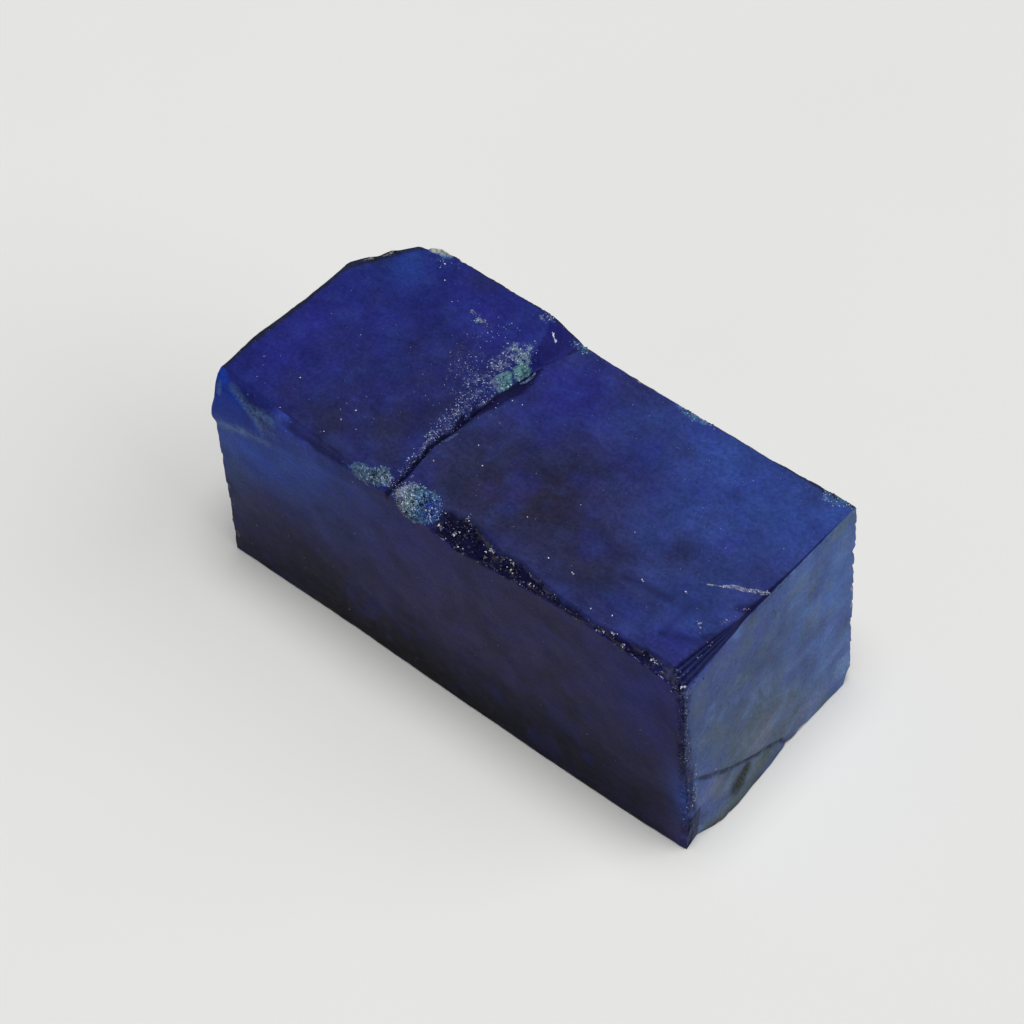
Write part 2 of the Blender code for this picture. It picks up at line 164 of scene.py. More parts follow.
# Edges with small chips: two ends, how many chips, and the smallest and largest chip radius.
CHIPPED_EDGES = [
    ((7.4, WIDTH, 24.35), (19.0, WIDTH, 24.3), 34, 0.18, 0.5),
    ((22.4, WIDTH, RIGHT_TOP), (42.0, WIDTH, RIGHT_TOP), 50, 0.18, 0.5),
    ((42.0, WIDTH, RIGHT_TOP), (LENGTH, WIDTH + FLARE, RIGHT_TOP), 20, 0.18, 0.45),
    ((0.1, 3.0, 22.8), (1.3, 14.6, 23.7), 26, 0.18, 0.42),
    ((2.0, 16.0, 23.9), (6.2, WIDTH - 0.5, 24.3), 20, 0.15, 0.35),
    ((LENGTH, 5.0, 22.4), (LENGTH, WIDTH, RIGHT_TOP), 26, 0.12, 0.3),
    ((LENGTH + 0.1, -0.1, 8.0), (LENGTH, 0.0, 20.8), 42, 0.2, 0.62),
    ((LENGTH, 0.6, 3.5), (LENGTH, 0.0, 9.0), 22, 0.15, 0.35),
    ((LENGTH, WIDTH + FLARE, 0.4), (LENGTH, WIDTH + FLARE, 22.4), 44, 0.2, 0.62),
    ((0.0, 0.0, 0.4), (0.0, 0.0, 16.0), 30, 0.15, 0.42),
    ((7.2, WIDTH, 0.6), (7.2, WIDTH, 23.6), 28, 0.2, 0.5),
    ((1.6, 15.6, 0.6), (1.6, 15.6, 23.0), 16, 0.15, 0.4),
    ((0.5, 0.0, 0.0), (20.0, 0.0, 0.0), 24, 0.15, 0.38),
    ((20.0, -0.15, 0.0), (LENGTH - 0.4, -0.3, 0.0), 36, 0.15, 0.38),
    ((LENGTH + 0.4, 0.6, 0.0), (LENGTH + 0.6, 7.0, 0.0), 12, 0.2, 0.45),
    ((LENGTH + 0.3, 8.0, 0.0), (LENGTH, 13.0, 0.0), 8, 0.2, 0.45),
    ((LENGTH, 13.0, 0.0), (LENGTH, WIDTH - 0.5, 0.0), 14, 0.2, 0.5),
    ((7.0, WIDTH, 0.0), (49.0, WIDTH, 0.0), 52, 0.2, 0.6),
    ((0.1, 0.6, 0.0), (1.4, 14.5, 0.0), 22, 0.2, 0.5),
    ((1.8, 15.9, 0.0), (6.2, WIDTH - 0.3, 0.0), 12, 0.2, 0.5),
    ((0.4, 0.55, 21.4), (19.5, 0.1, 22.5), 30, 0.12, 0.3),
]

# Wider scallops along the rough edges, in the same form.
SCALLOPED_EDGES = [
    ((0.2, 2.0, 22.8), (1.3, 14.6, 23.7), 8, 0.4, 0.8),
    ((2.0, 16.0, 23.9), (6.0, WIDTH - 0.5, 24.3), 4, 0.3, 0.6),
    ((24.0, WIDTH, RIGHT_TOP), (LENGTH - 4.0, WIDTH, RIGHT_TOP), 11, 0.35, 0.75),
    ((LENGTH, WIDTH, 1.0), (LENGTH, WIDTH, 21.0), 8, 0.5, 1.0),
    ((0.6, 0.0, 1.0), (0.0, 0.0, 15.5), 5, 0.4, 0.7),
]

# Single larger chips: centre and radius.
LARGE_CHIPS = [
    ((LENGTH + 0.5, 15.0, -0.5), 1.2), ((LENGTH + 0.5, WIDTH + 0.8, 0.3), 1.9),
    ((7.8, WIDTH + 0.45, 24.9), 1.1), ((34.5, WIDTH + 0.5, 23.4), 0.9), ((11.0, -0.5, -0.4), 0.9),
    ((26.7, 0.2, 22.6), 1.0), ((31.9, 0.0, 22.7), 0.9),
]

# How far a crust or a patch reaches: well over the top's edge, only near it, or without an end.
TALL = 3.0
LOW = 0.9
FAR = 99.0

# Crusts: centre, size, turn in radians, how densely they cover, how far they stand up, how sugary they
# are and palette name. The tints after them only colour what the crusts cover.
CRUSTS = [
    ((16.4, 0.6, 22.5), (1.2, 0.42, 0.9), 0.25, 1.0, 0.1, 0.1, "smoky_crust"),
    ((17.4, 0.75, 22.5), (1.2, 0.62, 0.9), 0.3, 1.0, 0.16, 0.4, "smoky_crust"),
    ((18.3, 0.95, 22.6), (1.0, 0.95, 0.9), 0.3, 1.0, 0.22, 1.0, "smoky_crust"),
    ((22.25, 0.95, 22.3), (1.95, 1.3, TALL), 0.1, 1.1, 0.34, 1.0, "teal_crust"),
    ((19.2, 16.9, 23.9), (1.2, 1.4, TALL), -0.5, 0.42, 0.04, 0.45, "cream_crust"),
    ((18.6, 15.3, 23.9), (0.9, 1.3, TALL), 0.0, 0.38, 0.03, 0.35, "lilac_crust"),
    ((20.35, 15.9, 23.4), (0.55, 0.9, TALL), -0.15, 0.95, 0.14, 0.25, "pale_crust"),
    ((19.75, 14.2, 23.3), (0.6, 1.0, TALL), -0.15, 0.7, 0.1, 0.2, "pale_crust"),
    ((18.9, 12.4, 23.5), (1.4, 1.9, TALL), 0.0, 0.26, 0.0, 0.2, "lilac_crust"),
    ((17.0, 13.2, 23.6), (2.1, 1.9, TALL), 0.5, 0.16, 0.0, 0.07, "lilac_crust"),
    ((19.0, 9.4, 23.3), (0.95, 1.9, TALL), 0.0, 0.3, 0.0, 0.3, "lilac_crust"),
    ((19.15, 6.4, 23.1), (0.6, 2.5, TALL), 0.0, 0.26, 0.0, 0.28, "lilac_crust"),
    ((19.3, 3.4, 22.9), (0.35, 1.5, TALL), 0.0, 0.15, 0.0, 0.15, "lilac_crust"),
    ((14.35, 17.75, 24.0), (0.42, 0.26, TALL), -0.2, 0.42, 0.0, 0.6, "cream_crust"),
    ((16.4, 16.6, 23.9), (2.2, 2.2, TALL), 0.4, 0.1, 0.0, 0.04, "lilac_crust"),
    ((7.0, 21.3, 24.3), (1.5, 0.55, LOW), 0.1, 1.0, 0.0, 0.12, "bone_crust"),
    ((8.3, 20.6, 24.3), (1.4, 0.8, LOW), 0.4, 0.22, 0.0, 0.1, "teal_crust"),
    ((18.8, 21.2, 24.3), (0.8, 0.5, LOW), 0.0, 0.4, 0.0, 0.4, "lilac_crust"),
    ((34.0, 21.3, 22.8), (2.0, 0.6, LOW), 0.0, 0.5, 0.0, 0.35, "teal_crust"),
    ((22.4, 21.2, 23.0), (0.9, 0.45, LOW), 0.0, 0.5, 0.0, 0.5, "teal_crust"),
    ((48.4, 21.3, 22.8), (1.4, 0.5, LOW), 0.0, 0.45, 0.0, 0.3, "teal_crust"),
]
CRUST_TINTS = [
    ((17.2, -0.1, 21.9), (1.5, 0.35, 0.3), 0.1, 0.6, "frost_crust"),
    ((20.7, 0.8, 22.5), (0.75, 1.3, TALL), 0.0, 1.0, "frost_crust"),
    ((21.75, 0.4, 22.4), (0.5, 0.7, TALL), 0.0, 0.9, "cream_crust"),
    ((23.5, 1.1, 22.4), (0.75, 0.9, TALL), 0.0, 1.0, "blue_crust"),
    ((20.6, 16.15, 23.0), (0.22, 0.32, 0.5), 0.0, 0.9, "green_crust"),
]

# The stone's colours, by name: code, label and what it is.
PALETTE = {
    "deep_blue": ("#20276A", "Deep blue", "Most of the sawn top left of the step"),
    "dusk_blue": ("#2B3163", "Dusk blue", "Most of the sawn top right of the step"),
    # Clear blue is painted glow of light passing through the stone at the far left corner.
    "clear_blue": ("#263B86", "Clear blue", "The far left corner"),
    "haze_blue": ("#31478F", "Haze blue", "The top's far right"),
    "violet_blue": ("#262979", "Violet blue", "Zones with a violet cast"),
    "night_blue": ("#282A48", "Night blue", "The dark zones of the top"),
    "brown_violet": ("#2A283C", "Brown violet", "The darkest zone of the top"),
    "front_violet": ("#2E2B57", "Front violet", "Most of the front"),
    # Front blue, front bright and front sky are painted glow of light passing through the stone near the
    # front's edges.
    "front_blue": ("#2E4899", "Front blue", "The front's upper left"),
    "front_bright": ("#3053BE", "Front bright", "The front's bright upper left"),
    "front_lilac": ("#3A3566", "Front lilac", "The front's greyer middle"),
    "front_sky": ("#3B5590", "Front sky", "The front's left edge"),
    "front_dark": ("#07070F", "Front dark", "The front's foot"),
    "vivid_blue": ("#1E3A9C", "Vivid blue", "The leaning facet at the left corner"),
    # Ink violet also serves as painted shade in the kerf and in the step's shadow beside it.
    "ink_violet": ("#110E30", "Ink violet", "The splintered band, the kerf and the ledges' risers"),
    "bevel_blue": ("#394AA6", "Bevel blue", "The leaning facet left of the kerf"),
    # This blue is painted shade up the foot of the near edge.
    "bruise_blue": ("#222D58", "Bruise blue", "The bruised strip up the foot of the near edge"),
    # The notch's blue is painted shade on its wall.
    "notch_blue": ("#171D42", "Notch blue", "The notch in the near corner's foot"),
    "slate_blue": ("#3C4F7C", "Slate blue", "The dull right end"),
    "slate_violet": ("#384886", "Slate violet", "The right end's upper front"),
    "slate_sky": ("#4464A5", "Slate sky", "The right end's back"),
    "slate_pale": ("#5C78A8", "Slate pale", "The right end's lowest back corner"),
    "slate_green": ("#4F606E", "Slate green", "The right end's lower middle"),
    "mauve_grey": ("#62677F", "Mauve grey", "Blushes low on the right end"),
    "olive_grey": ("#4C5552", "Olive grey", "The weathered lip under the crack"),
    # Partly a real stain and crack marks, partly painted shade along the top's back and left edges and the
    # right end's foot.
    "olive_black": ("#22251F", "Olive black", "The stain at the right end's foot and the dark edges"),
    # Partly real, partly painted light: pale scuffs and scratches, and painted highlights along the rim, the
    # left corner's crest and the kerf's edge.
    "pale_blue": ("#6A8FB4", "Pale blue", "The rim under the leaning facet, scuffs and scratches"),
    "teal_crust": ("#41688E", "Teal crust", "The crusts' main colour"),
    "smoky_crust": ("#445A72", "Smoky crust", "The smooth end of the crust left of the kerf"),
    "frost_crust": ("#868CA8", "Frost crust", "The bruised, frosted edge of the crusts"),
    "facet_violet": ("#1A1C60", "Facet violet", "The step's steep facet"),
    "white": ("#C8D0D8", "White", "The white scratches"),
    "blue_crust": ("#1B2F86", "Blue crust", "The saturated end of the crust by the kerf"),
    "cream_crust": ("#7C949A", "Cream crust", "The palest crust"),
    "pale_crust": ("#5C888C", "Pale crust", "The smooth lump beside the step"),
    "green_crust": ("#2A4A50", "Green crust", "The dark green spot beside the step"),
    "bone_crust": ("#969C94", "Bone crust", "The pale crust on the far left corner"),
    "lilac_crust": ("#626A90", "Lilac crust", "The crust's lilac rim and trail"),
}

# Soft patches of colour on each side: palette name, centre, size, turn in radians, strength.
LEFT_TOP_PATCHES = [
    ("violet_blue", (3.0, 6.5, 23.0), (3.5, 8.0, FAR), 0.0, 0.7),
    ("violet_blue", (15.5, 17.5, 24.0), (5.5, 4.0, FAR), 0.0, 0.8),
    ("night_blue", (13.0, 2.8, 23.0), (5.5, 2.8, FAR), 0.2, 0.9),
    ("night_blue", (7.0, 9.0, 23.0), (2.6, 3.0, FAR), 0.3, 0.3),
    ("night_blue", (15.5, 6.5, 23.0), (4.2, 4.5, FAR), 0.3, 0.7),
    ("night_blue", (14.5, 12.5, 23.0), (4.0, 3.5, FAR), 0.0, 0.45),
    ("night_blue", (15.0, 3.2, 23.0), (3.0, 2.4, FAR), 0.0, 0.6),
    ("night_blue", (12.0, 5.5, 23.0), (3.0, 2.4, FAR), 0.0, 0.3),
    ("night_blue", (16.2, 3.6, 23.0), (2.4, 2.0, FAR), 0.0, 0.35),
    ("night_blue", (11.3, 5.0, 23.0), (2.0, 2.0, FAR), 0.0, 0.2),
    ("night_blue", (12.5, 0.4, 23.0), (5.0, 1.2, FAR), 0.0, 0.5),
    # Painted glow at the far left corner.
    ("clear_blue", (5.2, 18.8, 24.0), (2.4, 2.4, FAR), 0.4, 0.9),
]
RIGHT_TOP_PATCHES = [
    ("violet_blue", (25.0, 17.0, 23.0), (4.5, 4.0, FAR), 0.0, 0.85),
    ("violet_blue", (33.5, 15.0, 23.0), (3.5, 3.0, FAR), 0.0, 0.35),
    ("night_blue", (25.0, 5.0, 23.0), (6.0, 5.0, FAR), 0.1, 0.8),
    ("brown_violet", (30.5, 6.5, 23.0), (6.0, 4.2, FAR), 0.15, 0.95),
    ("night_blue", (37.2, 4.8, 23.0), (4.6, 3.0, FAR), 0.1, 0.9),
    ("night_blue", (29.5, 11.5, 23.0), (3.5, 2.5, FAR), 0.3, 0.5),
    ("brown_violet", (37.5, 5.5, 23.0), (2.6, 2.2, FAR), 0.3, 0.55),
    ("brown_violet", (26.5, 6.8, 23.0), (3.2, 2.6, FAR), 0.2, 0.35),
    ("night_blue", (43.6, 10.0, 23.0), (2.6, 2.0, FAR), 0.3, 0.3),
    ("haze_blue", (40.5, 13.5, 23.0), (4.0, 3.5, FAR), 0.3, 0.4),
    ("haze_blue", (47.0, 19.0, 23.0), (8.5, 5.5, FAR), 0.2, 0.95),
    ("haze_blue", (38.0, 20.0, 23.0), (5.0, 3.5, FAR), 0.2, 0.75),
    ("haze_blue", (44.5, 9.5, 23.0), (4.0, 4.0, FAR), 0.2, 0.45),
    ("haze_blue", (46.5, 5.5, 23.0), (4.0, 2.5, FAR), 0.0, 0.6),
    ("haze_blue", (43.2, 3.4, 23.0), (2.4, 1.6, FAR), 0.0, 0.3),
    ("night_blue", (37.4, 5.2, 23.0), (2.2, 2.0, FAR), 0.0, 0.3),
    ("night_blue", (43.5, 9.8, 23.0), (2.4, 2.4, FAR), 0.0, 0.4),
    ("night_blue", (42.6, 4.6, 23.0), (2.2, 2.0, FAR), 0.0, 0.35),
    ("night_blue", (30.4, 13.6, 23.0), (2.6, 2.2, FAR), 0.0, 0.35),
    ("night_blue", (28.6, 8.4, 23.0), (2.4, 2.0, FAR), 0.0, 0.25),
    ("haze_blue", (31.8, 18.8, 23.0), (2.8, 2.2, FAR), 0.0, 0.4),
    ("violet_blue", (47.5, 2.6, 23.0), (2.6, 1.8, FAR), 0.0, 0.5),
]
FRONT_PATCHES = [
    # The front blue, front sky and front bright patches are painted glow: light through the stone brightens
    # the front near its upper and left edges and by the near corner.
    ("front_blue", (7.0, 0.0, 18.0), (10.0, FAR, 6.5), 0.0, 0.95),
    ("front_sky", (0.5, 0.0, 14.0), (2.4, FAR, 6.0), 0.0, 0.85),
    ("violet_blue", (23.0, 0.0, 18.0), (8.0, FAR, 4.0), 0.0, 0.55),
    ("violet_blue", (47.5, 0.0, 18.0), (6.0, FAR, 6.5), 0.0, 0.9),
    ("front_dark", (22.0, 0.0, 0.0), (28.0, FAR, 6.0), 0.0, 0.95),
    ("front_dark", (38.0, 0.0, 4.0), (7.0, FAR, 5.0), 0.0, 0.45),
    ("front_dark", (44.5, 0.0, 10.5), (2.6, FAR, 3.5), 0.0, 0.3),
    ("front_dark", (10.5, 0.0, 5.5), (4.5, FAR, 3.5), 0.0, 0.45),
    ("front_dark", (36.5, 0.0, 10.5), (4.5, FAR, 3.5), 0.0, 0.25),
    ("front_dark", (48.7, 0.0, 15.0), (2.2, FAR, 4.0), 0.0, 0.25),
    ("front_bright", (3.8, 0.0, 16.2), (3.6, FAR, 2.6), 0.0, 0.85),
    ("front_bright", (8.0, 0.0, 18.6), (4.5, FAR, 1.6), 0.0, 0.45),
    ("front_bright", (14.5, 0.0, 20.3), (4.0, FAR, 1.5), 0.0, 0.35),
    ("front_lilac", (27.5, 0.0, 13.5), (6.5, FAR, 4.5), 0.0, 0.7),
    ("front_blue", (49.4, 0.0, 6.5), (1.5, FAR, 3.6), 0.0, 0.8),
    ("front_lilac", (49.0, 0.0, 1.8), (1.6, FAR, 1.6), 0.0, 0.8),
]
RIGHT_END_PATCHES = [
    ("slate_violet", (50.0, 4.0, 21.5), (FAR, 8.0, 3.0), 0.0, 0.8),
    ("slate_sky", (50.0, 19.0, 14.0), (FAR, 4.8, 10.0), 0.0, 0.95),
    ("slate_sky", (50.0, 13.5, 20.5), (FAR, 3.0, 2.5), 0.0, 0.6),
    ("slate_green", (50.0, 8.5, 7.0), (FAR, 5.0, 4.5), 0.0, 0.8),
    ("slate_green", (50.0, 5.0, 1.5), (FAR, 6.5, 3.2), 0.0, 0.9),
    ("slate_pale", (50.0, 20.5, 3.5), (FAR, 3.0, 3.5), 0.0, 0.8),
    ("slate_sky", (50.0, 1.6, 5.5), (FAR, 1.6, 3.5), 0.0, 0.6),
    ("mauve_grey", (50.0, 10.8, 5.0), (FAR, 2.6, 1.8), 0.0, 0.8),
    ("mauve_grey", (50.0, 15.7, 2.0), (FAR, 2.2, 1.6), 0.0, 0.7),
    ("mauve_grey", (50.0, 4.5, 3.8), (FAR, 2.0, 1.2), 0.0, 0.5),
    ("olive_grey", (50.0, 9.3, 1.6), (FAR, 2.6, 1.3), 0.0, 0.85),
    ("olive_grey", (50.0, 4.0, 0.2), (FAR, 3.0, 1.1), 0.0, 0.8),
    ("mauve_grey", (50.0, 2.8, 5.4), (FAR, 1.6, 1.4), 0.0, 0.8),
    ("slate_green", (50.0, 13.2, 4.6), (FAR, 1.6, 1.4), 0.0, 0.8),
    ("olive_black", (50.0, 14.6, 3.6), (FAR, 0.5, 0.7), 0.0, 0.5),
    ("olive_black", (50.0, 9.6, 10.6), (FAR, 0.35, 0.9), 0.0, 0.55),
    ("olive_black", (50.0, 9.2, 12.6), (FAR, 0.7, 0.3), 0.0, 0.4),
]
HIDDEN_PATCHES = [
    ("haze_blue", (12.0, 21.6, 14.0), (9.0, FAR, 8.0), 0.0, 0.5),
    ("night_blue", (30.0, 21.6, 3.0), (14.0, FAR, 6.0), 0.0, 0.7),
    ("violet_blue", (42.0, 21.6, 15.0), (7.0, FAR, 7.0), 0.0, 0.7),
    ("front_blue", (0.0, 8.0, 17.0), (FAR, 6.0, 7.0), 0.0, 0.5),
    ("front_dark", (0.0, 8.0, 0.0), (FAR, 12.0, 4.0), 0.0, 0.6),
]

# Mottling of each side: palette name, size of the mottles, seed and strength.
TOP_MOTTLES = [("violet_blue", 2.6, 101, 0.3), ("night_blue", 3.0, 105, 0.4), ("haze_blue", 1.4, 109, 0.18)]
FRONT_MOTTLES = [("front_dark", 2.8, 111, 0.3), ("violet_blue", 2.0, 115, 0.25)]
RIGHT_END_MOTTLES = [("slate_green", 2.0, 121, 0.5), ("slate_violet", 2.4, 125, 0.6),
                     ("slate_pale", 1.7, 129, 0.35)]

# The surface's unevenness: the mask that it keeps to, or None for everywhere, its kind of noise, how far
# it stands out, the size of its cells and its seed. The masks after it lie deeper than the rest, by so
# much.
RELIEF = [
    (None, "soft", 0.02, 1.3, 11),
    (None, "soft", 0.02, 5.0, 12),
    (None, "angular", 0.01, 0.7, 13),
    ("fresh", "angular", 0.05, 0.5, 14),
    ("band", "angular", 0.16, 0.75, 15),
    ("band", "angular", 0.08, 0.4, 16),
    ("near_edge", "angular", 0.09, 0.5, 17),
]
SUNK = {"band": 0.06, "near_edge": 0.05, "crack": 0.14}

# The seeds of the other noises, by what they make ragged.
SEEDS = {
    "foot": 3, "brow": 5, "crack": 18, "crusts": 21, "crust_grain": 22, "crust_facets": 23, "band": 33,
    "kerf_reach": 34, "kerf_edge": 35, "notch": 36, "dark_edge": 37, "crumbs": 38, "bevel": 39, "strip": 40,
    "chips": 40, "splinters": 51, "wear": 61, "wear_facets": 62, "near_edge": 71, "patches": 81,
}

# Edges that bend by more than this stay sharp.
SHARP_FROM = math.radians(48.0)

# How rough broken stone is where its break isn't fresh.
BROKEN_ROUGHNESS = 0.25

# How many grains of each kind are scattered.
CRUST_GRAINS = 2600
SPLINTERS = 1000
DUST_SPECKS = 700

# Where most of the dust lies: centre, size and turn in radians.
DUST_TRAIL = ((16.5, 13.0, 23.5), (3.0, 6.0, FAR), 0.3)

# Colours in linear light: the white ones among the grains, splinters, glints, specks and dust, where the
# pale splinters and the glints on the band and the step's facet are painted highlights; the least that a
# dark grain keeps, the dark grains being painted shade; and what the crusts' sugar is mixed with.
SUGAR_WHITE = (0.52, 0.68, 1.0)
SPLINTER_GLINT_WHITE = (0.4, 0.46, 0.75)
FLECK_AND_GLINT_WHITE = (0.8, 0.84, 1.0)
SPECK_WHITE = (0.7, 0.76, 0.9)
DUST_WHITE = (0.16, 0.2, 0.26)
GRAIN_SHADOW = (0.0, 0.003, 0.02)
SUGAR_SHADE = (0.32, 0.4, 0.56)

# Thin marks on the surface: palette name, corners, radius of its full colour, radius where it ends,
# strength.
MARKS = [
    # Painted highlights along the rim under the leaning facet and along the left corner's crest.
    ("pale_blue", [(0.3, 0.0, 16.8), (0.9, 0.0, 17.1), (2.2, 0.0, 17.8), (3.4, 0.0, 18.3)], 0.1, 0.7, 0.7),
    ("pale_blue", [(3.4, 0.0, 18.3), (6.0, 0.0, 18.9)], 0.1, 0.9, 0.4),
    ("pale_blue", [(2.0, 0.8, 22.05), (3.8, 0.4, 21.4), (5.0, 0.2, 20.9), (5.8, 0.0, 19.9)], 0.0, 0.6,
     0.55),
    ("pale_blue", [(0.5, 0.5, 21.8), (0.6, 0.5, 20.8)], 0.05, 0.45, 0.6),
    ("pale_blue", [(3.8, 0.4, 21.4), (7.2, 0.5, 22.0)], 0.0, 0.6, 0.3),
    ("pale_blue", [(4.8, 0.2, 20.9), (7.0, 0.1, 20.3)], 0.0, 0.7, 0.4),
    ("pale_blue", [(5.2, 0.3, 21.5), (6.8, 0.2, 21.5)], 0.0, 0.7, 0.6),
    # A painted highlight along the kerf's right edge.
    ("pale_blue", [(20.02, 6.9, 22.9), (20.25, 8.0, 22.9)], 0.02, 0.16, 0.6),
    ("ink_violet", [(40.1, 5.2, 22.9), (42.7, 5.5, 22.9), (44.1, 5.6, 22.9)], 0.1, 0.6, 0.75),
    ("ink_violet", [(45.8, 2.6, 22.9), (47.1, 3.2, 22.9), (48.8, 3.7, 22.9)], 0.1, 0.55, 0.8),
    ("ink_violet", [(45.8, 3.0, 22.9), (45.9, 6.1, 22.9)], 0.1, 0.7, 0.6),
    ("ink_violet", [(48.9, 8.2, 22.9), (49.5, 8.8, 22.9)], 0.2, 0.55, 1.0),
    ("ink_violet", [(48.6, 4.2, 22.9), (49.0, 4.8, 22.9)], 0.15, 0.45, 0.9),
    ("ink_violet", [(50.0, 11.1, 20.5), (50.0, 11.2, 20.1)], 0.05, 0.2, 0.9),
    ("ink_violet", [(50.0, 12.0, 18.8), (50.0, 12.1, 18.4)], 0.05, 0.2, 0.9),
    ("olive_black", [(50.0, 9.4, 11.8), (50.0, 9.7, 10.4), (50.0, 10.3, 9.3)], 0.05, 0.35, 0.8),
    ("olive_black", [(50.3, 6.1, 2.2), (50.3, 6.8, 2.4)], 0.4, 1.25, 1.7),
    ("olive_black", [(50.2, 6.6, 2.5), (50.2, 7.7, 2.9)], 0.25, 0.75, 1.6),
    # Painted shade along the right end's foot, where it meets the floor.
    ("olive_black", [(50.5, 2.2, 0.2), (50.5, 3.2, 0.3)], 0.2, 0.7, 0.9),
    ("olive_black", [(50.5, 1.6, 0.1), (50.4, 7.5, 0.1), (50.0, 14.0, 0.1)], 0.05, 0.6, 0.85),
    ("white", [(45.6, 8.55, 22.9), (48.1, 9.92, 22.9), (49.8, 10.75, 22.9)], 0.02, 0.12, 0.8),
    ("white", [(47.6, 9.45, 22.9), (49.8, 10.5, 22.9)], 0.02, 0.1, 0.8),
    ("pale_blue", [(20.9, 15.3, 22.9), (21.14, 16.0, 22.9), (21.1, 16.7, 22.9)], 0.03, 0.14, 0.8),
]
